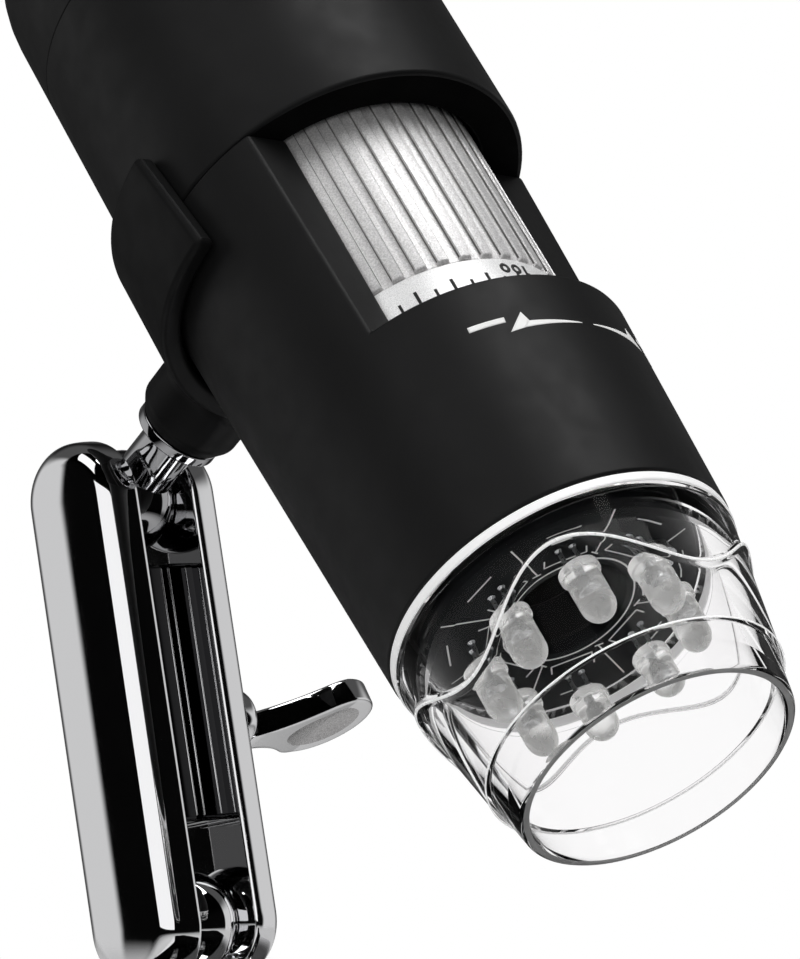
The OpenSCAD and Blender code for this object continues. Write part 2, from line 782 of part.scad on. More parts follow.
module lens_carriage() {
    seat_depth = lens_ring_h + lens_h;
    color(black_plastic) at_scope() difference() {
        union() {
            translate([0, 0, lens_tip]) cylinder(r = lens_barrel_r, h = lens_barrel_l + 1);
            translate([0, 0, carriage_start]) cylinder(r = carriage_r, h = carriage_l);
        }
        translate([0, 0, lens_tip - 1]) cylinder(r = light_r, h = lens_barrel_l + carriage_l + 2);
        translate([0, 0, lens_tip - 1]) cylinder(r = lens_r + seat_play, h = seat_depth + 1);
        round_axis(rod_turns, rod_ring)
            translate([0, 0, carriage_start - 1]) cylinder(r = rod_d / 2 + run_play, h = carriage_l + 2);
    }
}

module objective_lens() {
    clear_r = light_r - seat_play;
    bulge_r = (pow(clear_r, 2) + pow(lens_bulge, 2)) / (2 * lens_bulge);
    color([0.8, 0.88, 0.92, 0.5]) at_scope() translate([0, 0, lens_tip + lens_ring_h]) {
        cylinder(r = lens_r, h = lens_h);
        intersection() {
            translate([0, 0, -lens_bulge]) cylinder(r = clear_r, h = lens_h + 2 * lens_bulge);
            translate([0, 0, bulge_r - lens_bulge]) sphere(r = bulge_r);
            translate([0, 0, lens_h + lens_bulge - bulge_r]) sphere(r = bulge_r);
        }
    }
}

module lens_ring() {
    color(steel) at_scope() ring(lens_r, light_r, lens_tip, lens_tip + lens_ring_h);
}

module image_sensor() {
    color("#2b3038") at_scope() translate([-sensor_side / 2, -sensor_side / 2, sensor_face - sensor_h])
        cube([sensor_side, sensor_side, sensor_h]);
}

// A round board at a station, with its screw holes and a flat that leaves room for the button
module round_board(station) {
    difference() {
        translate([0, 0, station]) cylinder(r = board_r, h = board_h);
        rotate([0, 0, button_turn]) translate([board_flat, -through / 2, station - 1])
            cube([through, through, board_h + 2]);
        round_axis(spacer_turns, spacer_ring)
            translate([0, 0, station - 1]) cylinder(d = screw_hole_d, h = board_h + 2);
    }
}

module sensor_board() {
    color("#1f5a3c") at_scope() round_board(sensor_face);
}

module board_spacers() {
    color(steel) at_scope() round_axis(spacer_turns, spacer_ring)
        ring(spacer_d / 2, small_screw_d / 2 + seat_play, spacer_start, control_face);
}

module control_board() {
    color("#1f5a3c") at_scope() round_board(control_face);
}

module control_chip() {
    color("#202226") at_scope() translate([-chip_side / 2, -chip_side / 2, control_top])
        cube([chip_side, chip_side, chip_h]);
}

module snapshot_switch() {
    plunger = 0.8;
    body_face = switch_tip - plunger;
    color("#303236") at_scope() rotate([0, 0, button_turn]) {
        translate([body_face - switch_depth, -switch_w / 2, control_face - switch_h])
            cube([switch_depth, switch_w, switch_h]);
        translate([body_face - eps, 0, button_station]) rotate([0, 90, 0])
            cylinder(d = 1.8, h = plunger + eps);
    }
}

module snapshot_button() {
    button_top = body_r + button_proud;
    color(dark_rubber) at_scope() translate([0, 0, button_station]) rotate([0, 0, button_turn])
        rotate([0, 90, 0]) translate([0, 0, button_rim_bottom]) {
            cylinder(d = button_d + 2 * button_rim, h = button_rim_h);
            cylinder(d = button_d, h = button_top - button_rim_bottom);
        }
}

module board_screws() {
    color(steel) at_scope() round_axis(spacer_turns, spacer_ring)
        translate([0, 0, control_top]) small_screw(control_top - ring_end - 0.6);
}

module housing_screws() {
    color(steel) at_scope() round_axis(housing_screw_turns, housing_screw_ring)
        translate([0, 0, screw_seat]) small_screw(screw_seat - split + screw_bite);
}

base_plate();
base_pad();
friction_washer();
lower_ball_stud();
foot_screw();
arm_left_shell();
arm_right_shell();
thumb_screw();
upper_ball_stud();
collar_clip();
clip_insert();
front_housing();
rear_housing();
top_cap();
clear_nose();
led_board();
led_lamps();
led_screws();
focus_wheel();
guide_rods();
lens_carriage();
objective_lens();
lens_ring();
image_sensor();
sensor_board();
board_spacers();
control_board();
control_chip();
snapshot_switch();
snapshot_button();
board_screws();
housing_screws();
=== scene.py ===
"""Looks of a hand-held USB microscope on a chrome desk stand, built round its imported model.

Every piece is a surface worked out in millimetres along the axes of the part that carries it,
and then placed in metres in the model's own frame.
"""
import json
import math

import bmesh
import bpy
import numpy as np
from mathutils import Matrix


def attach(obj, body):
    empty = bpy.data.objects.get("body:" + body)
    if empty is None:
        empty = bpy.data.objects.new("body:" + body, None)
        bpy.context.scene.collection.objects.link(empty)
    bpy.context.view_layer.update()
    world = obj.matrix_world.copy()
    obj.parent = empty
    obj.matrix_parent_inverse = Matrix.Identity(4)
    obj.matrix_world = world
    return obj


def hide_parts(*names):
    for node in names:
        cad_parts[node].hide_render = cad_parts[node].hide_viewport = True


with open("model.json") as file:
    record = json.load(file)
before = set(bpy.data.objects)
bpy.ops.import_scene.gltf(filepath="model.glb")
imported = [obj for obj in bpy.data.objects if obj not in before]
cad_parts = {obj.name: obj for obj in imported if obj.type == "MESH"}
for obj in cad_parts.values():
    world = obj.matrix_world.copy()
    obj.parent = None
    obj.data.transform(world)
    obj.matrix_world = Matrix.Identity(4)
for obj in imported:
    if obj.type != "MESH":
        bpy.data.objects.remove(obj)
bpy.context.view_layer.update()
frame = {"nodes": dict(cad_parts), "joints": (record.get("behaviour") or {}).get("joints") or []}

MM = 0.001
TAU, QUARTER = 2 * math.pi, math.pi / 2
WHITE = (1, 1, 1, 1)

# Axes of the stand, the arm, the upper stud and the microscope, read from the joints
joints = {joint["name"]: joint for joint in frame["joints"]}


def unit(vector):
    """The vector divided by its own length."""
    return np.asarray(vector, float) / np.linalg.norm(vector)


def placed(origin, across, side, along):
    """Takes points in millimetres along three unit axes to metres in the model's frame."""
    axes = np.array([across, side, along], float) * MM
    start = np.array(origin, float)
    return lambda points: start + np.asarray(points) @ axes


CLIP_STATION = 62.8
lower_ball = np.array(joints["arm_tilt"]["pos_m"], float)
upper_ball = np.array(joints["head_tilt"]["pos_m"], float)
stud_axis = unit(joints["head_spin"]["axis"])
scope_axis = unit(joints["scope_turn"]["axis"])
scope_side = unit(np.cross(scope_axis, stud_axis))
arm_axis = unit(upper_ball - lower_ball)
nose_rim = np.array(joints["scope_turn"]["pos_m"], float) - CLIP_STATION * MM * scope_axis

on_stand = placed((0, 0, 0), *np.eye(3))
on_foot = placed((lower_ball[0], lower_ball[1], 0), *np.eye(3))
on_arm = placed(lower_ball, np.cross((0, 1, 0), arm_axis), (0, 1, 0), arm_axis)
on_stud = placed(upper_ball, scope_side, scope_axis, stud_axis)
on_scope = placed(nose_rim, stud_axis, scope_side, scope_axis)
SCOPE, WHEEL = (on_scope, "scope"), (on_scope, "wheel")


# Outlines and surfaces

def rounded(corners, cells=6, closed=True):
    """Outline through corners (x, y, radius): each corner is an arc that touches both its sides."""
    points = np.array([corner[:2] for corner in corners], float)
    outline = []
    last = len(corners) - 1
    for i, (x, y, radius) in enumerate(corners):
        if radius == 0 or (not closed and i in (0, last)):
            outline.append([[x, y]])
            continue
        back = unit(points[i - 1] - points[i])
        ahead = unit(points[(i + 1) % len(points)] - points[i])
        half = math.acos(np.clip(back @ ahead, -1, 1)) / 2
        middle = points[i] + unit(back + ahead) * radius / math.sin(half)
        start = points[i] + back * radius / math.tan(half) - middle
        end = points[i] + ahead * radius / math.tan(half) - middle
        sweep = math.pi - 2 * half
        share = np.linspace(0, 1, cells + 1)[:, None]
        arc = np.sin((1 - share) * sweep) * start + np.sin(share * sweep) * end
        outline.append(middle + arc / math.sin(sweep))
    if closed:
        outline.append(outline[0][:1])
    return np.concatenate([np.array(part, float) for part in outline])


def at_turn(radius, turn, station):
    """Points at a radius, a turn round the third axis and a station along it."""
    radius, turn, station = np.broadcast_arrays(radius, turn, station)
    return np.stack([radius * np.cos(turn), radius * np.sin(turn), station], -1)


def turned(profile, cells):
    """A profile of (radius, height) points turned about the third axis."""
    return at_turn(profile[:, :1], np.linspace(0, TAU, cells + 1), profile[:, 1:])


def lathe(corners, cells, turn_cells):
    """An open outline with rounded corners, turned about the third axis."""
    return turned(rounded(corners, cells, closed=False), turn_cells)


def ring(radii, stations, corners, cells, turn_cells):
    """A turned ring with a rectangular section, whose four corners are rounded one by one."""
    (inner, outer), (low, high) = radii, stations
    section = [(inner, low), (outer, low), (outer, high), (inner, high)]
    outline = rounded([(*point, corner) for point, corner in zip(section, corners)], cells)
    return turned(outline, turn_cells)


def round_rectangle(length, width, corner, inset, cells=10):
    """Rows of a rounded rectangle's outline, each row moved in by its inset: four straight sides
    and four quarter circles whose radius is the corner less the inset."""
    quarter = np.linspace(0, QUARTER, cells + 1)
    turn = np.concatenate([quarter + k * QUARTER for k in range(4)] + [[TAU]])
    across = np.append(np.repeat([1, -1, -1, 1], cells + 1), 1) * (length / 2 - corner)
    up = np.append(np.repeat([1, 1, -1, -1], cells + 1), 1) * (width / 2 - corner)
    radius = corner - np.asarray(inset, float)[:, None]
    return across + radius * np.cos(turn), up + radius * np.sin(turn)


def slab(length, width, corner, low, high, low_edge, high_edge, cells):
    """A plate with a rounded-rectangle outline: its edges are quarter circles, and its two faces
    close on a middle line."""
    arc = np.linspace(0, QUARTER, cells + 1)
    inset = np.concatenate([
        [corner], low_edge * (1 - np.sin(arc)), high_edge * (1 - np.cos(arc)), [corner]])
    height = np.concatenate([
        [low], low + low_edge * (1 - np.cos(arc)), high - high_edge * (1 - np.sin(arc)), [high]])
    x, y = round_rectangle(length, width, corner, inset)
    shell = np.stack([x, y, height[:, None] + 0 * x], -1)
    lines = [np.stack([shell[row], shell[row] * [1, 0, 1]]) for row in (0, -1)]
    return [shell, *lines]


def copied_round(grids, turns):
    """Copies of each grid turned about the third axis."""
    copies = []
    for grid in grids:
        x, y, z = np.moveaxis(grid, -1, 0)
        copies += [np.stack([x * c - y * s, x * s + y * c, z], -1)
                   for c, s in zip(np.cos(turns), np.sin(turns))]
    return copies


# Joining surfaces into pieces

MERGE_M, FLAT_M = 2e-6, 1e-7


def added(name, data):
    """A new object in the scene, at the origin."""
    made = bpy.data.objects.new(name, data)
    bpy.context.scene.collection.objects.link(made)
    return made


def piece(name, patches, place, body, material, slot, stands_for=(), crease=35.0, thickness=0):
    """One mesh from grids of points: a grid's cell is a face, points that meet are merged, and the
    faces are turned outwards. Edges sharper than the crease stay sharp. An open sheet can be given
    a thickness in millimetres, half to each side."""
    points, faces, start = [], [], 0
    for grid in patches:
        rows, columns = grid.shape[:2]
        corner = start + np.arange(rows * columns).reshape(rows, columns)
        cells = [corner[:-1, :-1], corner[:-1, 1:], corner[1:, 1:], corner[1:, :-1]]
        faces.append(np.stack(cells, -1).reshape(-1, 4))
        points.append(grid.reshape(-1, 3))
        start += rows * columns
    mesh = bpy.data.meshes.new(name)
    mesh.from_pydata(place(np.concatenate(points)).tolist(), [], np.concatenate(faces).tolist())
    work = bmesh.new()
    work.from_mesh(mesh)
    bmesh.ops.remove_doubles(work, verts=work.verts, dist=MERGE_M)
    bmesh.ops.dissolve_degenerate(work, edges=work.edges, dist=FLAT_M)
    bmesh.ops.recalc_face_normals(work, faces=work.faces)
    work.to_mesh(mesh)
    work.free()
    mesh.shade_smooth()
    mesh.set_sharp_from_angle(angle=math.radians(crease))
    mesh.materials.append(material)
    made = added(name, mesh)
    # Thickened sheets are print, painted shade strips or painted highlight strips
    if thickness:
        wall = made.modifiers.new("print_and_painted_light_thickness", "SOLIDIFY")
        wall.thickness, wall.offset = thickness * MM, 0
    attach(made, body)
    if stands_for:
        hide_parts(*stands_for)
    return made


def soften(made, width, segments=3, angle=40.0):
    """Rounds a piece's sharp edges by a width in millimetres."""
    bevel = made.modifiers.new("soft_edges", "BEVEL")
    bevel.width = width * MM
    bevel.segments = segments
    bevel.limit_method = "ANGLE"
    bevel.angle_limit = math.radians(angle)
    bevel.harden_normals = True


# Materials

NOISE_LOW, NOISE_HIGH = 0.3, 0.7
TINT_PLACES = (0.35, 0.65)


def connect(tree, node, *inputs, **named):
    """Gives a node's inputs, by place or by name with spaces for underscores, values or links."""
    for key, value in [*enumerate(inputs), *named.items()]:
        socket = node.inputs[key.replace("_", " ") if isinstance(key, str) else key]
        if isinstance(value, bpy.types.NodeSocket):
            tree.links.new(value, socket)
        else:
            socket.default_value = value
    return node


def new_node(tree, kind, *inputs, **named):
    """A new shader node with its inputs given."""
    return connect(tree, tree.nodes.new("ShaderNode" + kind), *inputs, **named)


def dress(material, **sockets):
    """Gives sockets of the material's shader values or links."""
    tree = material.node_tree
    connect(tree, tree.nodes["Principled BSDF"], **sockets)


def surface(name, colour, roughness, **sockets):
    """A new material with one shader; the other named sockets are set on the shader itself."""
    material = bpy.data.materials.new(name)
    material.use_nodes = True
    dress(material, Base_Color=(*colour, 1), Roughness=roughness, **sockets)
    return material


def noise(material, size, detail):
    """Cloudy noise in the object's own coordinates, with spots of a size in millimetres."""
    tree = material.node_tree
    where = new_node(tree, "TexCoord").outputs["Object"]
    cloud = new_node(tree, "TexNoise", Vector=where, Scale=1 / (size * MM), Detail=detail)
    return cloud.outputs["Fac"]


def spread(material, spots, low, high):
    """Sends noise to the shader's roughness, stretched between two values."""
    factor = noise(material, *spots)
    stretch = new_node(material.node_tree, "MapRange", factor, NOISE_LOW, NOISE_HIGH, low, high)
    dress(material, Roughness=stretch.outputs["Result"])


def tint(material, spots, low, high):
    """Sends noise to the shader's colour, between two colours."""
    ramp = new_node(material.node_tree, "ValToRGB", noise(material, *spots))
    for element, place, colour in zip(ramp.color_ramp.elements, TINT_PLACES, (low, high)):
        element.position, element.color = place, (*colour, 1)
    dress(material, Base_Color=ramp.outputs["Color"])


def grain(material, spots, strength, depth):
    """A bump made from noise, with its depth in millimetres."""
    bump = new_node(material.node_tree, "Bump", Strength=strength, Distance=depth * MM,
                    Height=noise(material, *spots))
    dress(material, Normal=bump.outputs["Normal"])


# Spots of noise are given as (size, detail)

def soft_touch(name, dark, light, roughness, shine):
    """Black plastic with a fine soft-touch grain, faintly uneven in tone and sheen."""
    material = surface(name, dark, roughness, Specular_IOR_Level=shine)
    tint(material, (9.0, 3.0), dark, light)
    spread(material, (2.5, 3.0), roughness - 0.04, roughness + 0.05)
    grain(material, (0.09, 2.0), strength=0.10, depth=0.02)
    return material


def polished(name, colour, low, high):
    """Plated metal, mirror bright, with a trace of haze."""
    material = surface(name, colour, low, Metallic=1.0)
    spread(material, (4.0, 5.0), low, high)
    return material


def blasted(name, colour, roughness, size, depth, metallic=1.0):
    """Satin metal with the sparkle of a bead-blasted face."""
    material = surface(name, colour, roughness, Metallic=metallic)
    tint(material, (size * 1.3, 2.0), [0.72 * c for c in colour], colour)
    spread(material, (size * 2.0, 2.0), roughness - 0.08, roughness + 0.1)
    grain(material, (size, 2.0), strength=0.5, depth=depth)
    return material


def moulded(name, low, high, roughness, size, depth, shine=0.5):
    """Moulded plastic, rubber, resin or board: a mottled tone and a fine bump."""
    material = surface(name, low, roughness, Specular_IOR_Level=shine)
    tint(material, (size * 4, 3.0), low, high)
    spread(material, (size * 2, 3.0), roughness - 0.05, roughness + 0.07)
    grain(material, (size * 0.2, 2.0), strength=0.25, depth=depth)
    return material


def clear(name, colour, roughness, passing, ior, spots, haze, glow=0.0, glow_colour=WHITE):
    """Clear or milky plastic or glass that lets a share of the light pass: noise moves its
    roughness between the two values of the haze."""
    material = surface(name, colour, roughness, Transmission_Weight=passing, IOR=ior,
                       Emission_Color=glow_colour, Emission_Strength=glow)
    spread(material, spots, *haze)
    return material


def grey(level):
    """A colour with the same level in all three channels."""
    return (level, level, level)


# After a name and its colours: the roughness and shine, or the least and greatest roughness
body_black = soft_touch("body_black", (0.006, 0.006, 0.0062), (0.0075, 0.0075, 0.0077), 0.48, 0.18)
clip_black = soft_touch("clip_black", (0.0045, 0.0045, 0.0047), (0.006, 0.006, 0.0062), 0.48, 0.1)
chrome = polished("chrome", (0.78, 0.78, 0.79), 0.02, 0.05)
# Painted shade: a darker copy of the chrome for the upper stud, whose neck sits in dark surroundings
shaded_stud_chrome = polished("shaded_stud_chrome", (0.4, 0.4, 0.41), 0.03, 0.07)
# Painted shade: chrome darkened nearly to black for the blocks deep in the arm's recess
recess_shade_chrome = polished("recess_shade_chrome", (0.014, 0.014, 0.015), 0.05, 0.1)
rod_steel = polished("rod_steel", (0.7, 0.71, 0.72), 0.12, 0.2)

# After the colours: roughness, size of the spots, depth of the bump, and share of metal or shine
dish_chrome = blasted("dish_chrome", (0.5, 0.49, 0.49), 0.25, 0.16, 0.02)
wheel_silver = blasted("wheel_silver", (0.84, 0.83, 0.83), 0.46, 0.11, 0.06, 0.6)
band_silver = blasted("band_silver", grey(0.97), 0.35, 0.06, 0.004, 0.25)
steel = blasted("screw_steel", (0.6, 0.61, 0.62), 0.3, 0.12, 0.004)
brass = blasted("insert_brass", (0.72, 0.5, 0.22), 0.3, 0.12, 0.004)
board_black = moulded("board_black", (0.006, 0.0065, 0.007), (0.01, 0.011, 0.012), 0.5, 1.2, 0.004, 0.05)
board_green = moulded("board_green", (0.01, 0.09, 0.045), (0.015, 0.14, 0.07), 0.35, 1.0, 0.005)
chip_black = moulded("chip_black", (0.012, 0.013, 0.015), (0.02, 0.021, 0.023), 0.45, 0.6, 0.006)
inner_black = moulded("inner_black", (0.006, 0.006, 0.007), (0.01, 0.01, 0.011), 0.5, 2.5, 0.002, 0.08)
pad_rubber = moulded("pad_rubber", grey(0.012), grey(0.02), 0.8, 1.2, 0.03)
button_rubber = moulded("button_rubber", grey(0.01), grey(0.016), 0.65, 1.0, 0.02)
print_white = moulded("print_white", (0.78, 0.78, 0.77), (0.84, 0.84, 0.83), 0.5, 0.5, 0.002)
print_black = moulded("print_black", grey(0.012), grey(0.02), 0.5, 0.5, 0.002)
# Painted shade: a near-black plastic for the ring face at the split, which lies in shade
ring_shade_black = moulded("ring_shade_black", (0.0015, 0.0015, 0.0016), grey(0.003), 0.7, 0.8, 0.02, 0.03)
# Painted shade: a dark grey for the strips on the steep walls of the wheel's ridges
groove_shade_grey = moulded("groove_shade_grey", (0.1, 0.098, 0.096), (0.2, 0.197, 0.194), 0.6, 0.4, 0.004)

# After the colour: roughness, share of light that passes, refraction, spots, haze and glow; a glow, where
# given, is painted light, for none of these parts is a lamp
clear_plastic = clear("clear_plastic", (0.97, 0.965, 0.968), 0.02, 1.0, 1.14, (3.0, 4.0), (0.0, 0.03))
# Painted highlights that glow: the bright lines on the clear nose's flange, lip and wave crest
edge_highlight_glow = clear("painted_edge_highlight", grey(0.98), 0.3, 0.3, 1.3, (1.5, 3.0), (0.3, 0.5), 0.14)
wave_highlight_glow = clear("painted_wave_highlight", grey(0.92), 0.25, 0.4, 1.3, (1.5, 3.0), (0.2, 0.35), 0.16)
# The lamps are not lit: the resin's glow is painted light
lamp_resin = clear("lamp_resin", (0.98, 0.98, 0.97), 0.25, 0.78, 1.3, (1.6, 2.0), (0.2, 0.32), 0.07,
                   (1, 1, 0.98, 1))
# Painted shade: a grey sheet for the dark line round the end of the clear nose
rim_shade_grey = clear("rim_shade_grey", grey(0.4), 0.35, 0.5, 1.2, (1.2, 3.0), (0.3, 0.5))
lens_glass = clear("lens_glass", (0.8, 0.86, 0.95), 0.01, 1.0, 1.52, (3.0, 4.0), (0.0, 0.02))


# Front housing: a cone with a finger window, and a wall that goes on round the rest

FRONT_EDGE, WINDOW_EDGE, SPLIT, CAP_SEAM = 18.1, 39.7, 63.1, 88.6
FRONT_R, BODY_R, HOLLOW_R, FRONT_BEVEL = 15.65, 17.5, 15.6, 0.34
DRUM_BORE, JOURNAL_BORE = 13.8, 12.28
WINDOW_FLAT, WINDOW_TURN = 7.8, math.radians(-3.7)
FRONT_BEARING, REAR_BEARING = (33.3, 36.3), (66.7, 69.7)
SPIGOT_BORE, SPIGOT_SEAT = 13.75, 20.6
LENS_HOLE, BOARD_BOSS_R, BOARD_FACE, BOARD_BACK = 5.4, 12.4, 17.3, 18.5
ROOM_R, ROOM_START = 13.0, 22.6


def cone_r(station):
    """Radius of the front housing, which grows in a straight line from its edge to the split."""
    share = (np.asarray(station, float) - FRONT_EDGE) / (SPLIT - FRONT_EDGE)
    return FRONT_R + (BODY_R - FRONT_R) * share


def window_half(radius):
    """Half of the turn that the window's flat cuts from a circle of that radius."""
    return np.arccos(WINDOW_FLAT / np.asarray(radius, float))[..., None]


def wall_turns(radius, cells=120):
    """Turns round the wall beside the window, from where a circle of that radius meets the flat on
    one side to where it meets it on the other."""
    edge = window_half(radius)
    return WINDOW_TURN + edge + np.linspace(0, 1, cells + 1) * (TAU - 2 * edge)


def window_turns(radius, cells=60):
    """Turns across the window on a circle of that radius."""
    return WINDOW_TURN + TAU + np.linspace(-1, 1, cells + 1) * window_half(radius)


def front_shell():
    """Grids of the front housing: rings up to the window, the window's floor, and the wall beside it
    as a closed section carried up to the split."""
    outer = np.linspace(WINDOW_EDGE, FRONT_EDGE, 9)
    inner = np.array([
        (SPIGOT_BORE, FRONT_EDGE), (SPIGOT_BORE, SPIGOT_SEAT), (BOARD_BOSS_R, SPIGOT_SEAT),
        (BOARD_BOSS_R, BOARD_BACK), (LENS_HOLE, BOARD_BACK), (LENS_HOLE, ROOM_START), (ROOM_R, ROOM_START),
        (ROOM_R, FRONT_BEARING[0]), (JOURNAL_BORE, FRONT_BEARING[0]), (JOURNAL_BORE, FRONT_BEARING[1]),
        (DRUM_BORE, FRONT_BEARING[1]), (DRUM_BORE, WINDOW_EDGE)])
    radius = np.concatenate([cone_r(outer), inner[:, 0]])
    station = np.concatenate([outer, inner[:, 1]])
    circle = np.concatenate([0 * outer + cone_r(WINDOW_EDGE), [DRUM_BORE] * len(inner)])
    turn = np.concatenate([wall_turns(circle), window_turns(circle)[:, 1:]], 1)
    rings = at_turn(radius[:, None], turn, station[:, None])
    edge = np.array([DRUM_BORE, cone_r(WINDOW_EDGE)])
    window_floor = at_turn(edge[:, None], window_turns(edge), WINDOW_EDGE)
    rise = np.linspace(WINDOW_EDGE, SPLIT, 14)
    outside = at_turn(cone_r(rise)[:, None], wall_turns(cone_r(rise)), rise[:, None])
    inside = at_turn(DRUM_BORE, wall_turns(0 * rise + DRUM_BORE), rise[:, None])
    wall = np.concatenate([outside, inside[:, ::-1], outside[:, :1]], 1)
    top = np.array([DRUM_BORE, BODY_R])
    return [rings, window_floor, wall, at_turn(top[:, None], wall_turns(top), SPLIT)]


soften(piece("front_shell", front_shell(), *SCOPE, body_black, "body_plastic",
             ["front_housing"]), FRONT_BEVEL)


# Rear housing, with the hole for the snapshot button, and the top cap

BUTTON_STATION, BUTTON_HOLE_R = 78.0, 3.6
HOLE_TURN, HOLE_HALF = math.radians(16), 4.8
FACE_STEP, FACE_STEP_R, SEAM_EDGE = 0.25, (15.7, 15.6), 0.1
FACE_RING_R, FACE_RING = (13.95, 17.0), (SPLIT - 0.03, SPLIT + 0.05)


def hole_patch(cells=8):
    """The wall round the button's hole: rows run from a square on the outer wall to the round hole,
    through it, and out to a square on the inner wall."""
    share = np.linspace(-1, 1, cells + 1)[:-1]
    across = np.concatenate([share, 0 * share + 1, -share, 0 * share - 1, [-1]])
    along = np.concatenate([0 * share - 1, share, 0 * share + 1, -share, [-1]])
    angle = np.arctan2(along, across)
    rows = []
    for radius, order in ((BODY_R, (1, 0.5, 0)), (HOLLOW_R, (0, 0.5, 1))):
        square_x = radius * np.sin(across * HOLE_TURN)
        for square in order:
            hole_r = (1 - square) * BUTTON_HOLE_R
            x = square * square_x + hole_r * np.cos(angle)
            station = square * HOLE_HALF * along + hole_r * np.sin(angle)
            rows.append(np.stack([x, np.sqrt(radius ** 2 - x ** 2), BUTTON_STATION + station], -1))
    return np.array(rows)


def rear_shell():
    """Grids of the rear housing: turned walls below, above and beside the button's hole, and its
    patch."""
    low, high = BUTTON_STATION - HOLE_HALF, BUTTON_STATION + HOLE_HALF
    front = rounded([
        (BODY_R, low, 0), (BODY_R, SPLIT, 0.35), (FACE_STEP_R[0], SPLIT, 0.1),
        (FACE_STEP_R[1], SPLIT + FACE_STEP, 0.1), (DRUM_BORE, SPLIT + FACE_STEP, 0.15),
        (DRUM_BORE, REAR_BEARING[0], 0), (JOURNAL_BORE, REAR_BEARING[0], 0),
        (JOURNAL_BORE, REAR_BEARING[1], 0), (HOLLOW_R, REAR_BEARING[1], 0), (HOLLOW_R, low, 0)],
        4, closed=False)
    back = rounded([(HOLLOW_R, high, 0), (HOLLOW_R, CAP_SEAM, SEAM_EDGE), (BODY_R, CAP_SEAM, SEAM_EDGE),
                    (BODY_R, high, 0)], 4, closed=False)
    sector = np.linspace(QUARTER - HOLE_TURN, QUARTER + HOLE_TURN, 9)
    rest = np.linspace(sector[-1], sector[0] + TAU, 97)
    turn = np.concatenate([sector, rest[1:]])
    stations = np.linspace(low, high, 9)[:, None]
    rings = [at_turn(part[:, :1], turn, part[:, 1:]) for part in (front, back)]
    walls = [at_turn(radius, rest, stations) for radius in (BODY_R, HOLLOW_R)]
    return [*rings, *walls, hole_patch()]


piece("rear_shell", rear_shell(), *SCOPE, body_black, "body_plastic", ["rear_housing"])

CAP_TOP, CAP_EDGE, CAP_WALL = 110.0, 13.0, 1.9
GLAND_TOP, GLAND_R, GLAND_MOUTH_R, MOUTH_DEPTH, INLET_R = 112.4, (4.9, 4.2), 2.6, 1.0, 2.1


def cap_profile():
    """The cap's outline: a straight skirt, a large quarter circle, the cord's collar with its bore,
    and a wall of even thickness inside."""
    return rounded([
        (BODY_R - SEAM_EDGE, CAP_SEAM, 0), (BODY_R, CAP_SEAM + SEAM_EDGE, 0.1), (BODY_R, CAP_TOP, CAP_EDGE),
        (GLAND_R[0], CAP_TOP, 0.4), (GLAND_R[1], GLAND_TOP, 0.6), (GLAND_MOUTH_R, GLAND_TOP, 0.4),
        (INLET_R, GLAND_TOP - MOUTH_DEPTH, 0.3), (INLET_R, CAP_TOP - CAP_WALL, 0),
        (BODY_R - CAP_WALL, CAP_TOP - CAP_WALL, CAP_EDGE - CAP_WALL), (BODY_R - CAP_WALL, CAP_SEAM, 0)], 14)


piece("cap_shell", [turned(cap_profile(), 160)], *SCOPE, body_black, "body_plastic", ["top_cap"])
# The near-black ring laid on the rear housing's front face is painted shade
piece("ring_face_shade", [ring(FACE_RING_R, FACE_RING, [0.01] * 4, 2, 160)], *SCOPE, ring_shade_black, "body_plastic")


# Clear nose with its lip and its raised wave

NOSE_RIM_R, RIM_WALL, NOSE_LIP, NOSE_STEP = 12.2, 0.9, 4.3, 0.35
NOSE_FLANGE_R, NOSE_FLANGE, FLANGE_STEP = 15.4, 16.6, 0.1
NOSE_BORE, BORE_START, SPIGOT_R, SPIGOT_END = 12.7, 15.1, 13.65, 20.4
NOSE_SLOPE = (NOSE_FLANGE_R - FLANGE_STEP - NOSE_RIM_R - NOSE_STEP) / NOSE_FLANGE
WAVE_MIDDLE, WAVE_SWING, WAVE_COUNT, WAVE_TURN = 11.75, 2.35, 4, math.radians(50)
BEAD_HEIGHT, BEAD_HALF, CREST_HALF, CREST_LIFT = 0.4, 0.55, 0.16, 0.012
FLANGE_LINE_R, FLANGE_LINE = (15.25, 15.55), (17.2, 18.06)
LIP_LINE_R, LIP_LINE = (13.3, 13.4), (4.2, 4.36)
RIM_LINE_R, RIM_LINE = (11.5, 12.0), (-0.01, 0.05)

nose_turns = np.linspace(0, TAU, 257)
wave = WAVE_MIDDLE + WAVE_SWING * np.cos(WAVE_COUNT * (nose_turns + WAVE_TURN))


def nose_r(station, away):
    """Radius of the nose's outer wall: a cone, and along the wave a bead with a cosine section, by
    the distance from the wave in half widths of the bead."""
    bead = BEAD_HEIGHT * (0.5 + 0.5 * np.cos(math.pi * away))
    return NOSE_RIM_R + NOSE_STEP + NOSE_SLOPE * station + bead


def nose_wall():
    """The nose's outer wall between lip and flange: rows follow a cosine wave round the axis, and
    lie closer together on the bead."""
    below = np.linspace(0, 1, 10)[:, None]
    beside = np.linspace(-1, 1, 11)[:, None]
    station = np.concatenate([
        NOSE_LIP + below * (wave - BEAD_HALF - NOSE_LIP), (wave + beside * BEAD_HALF)[1:-1],
        wave + BEAD_HALF + below * (NOSE_FLANGE - wave - BEAD_HALF)])
    away = np.clip((station - wave) / BEAD_HALF, -1, 1)
    return at_turn(nose_r(station, away), nose_turns, station)


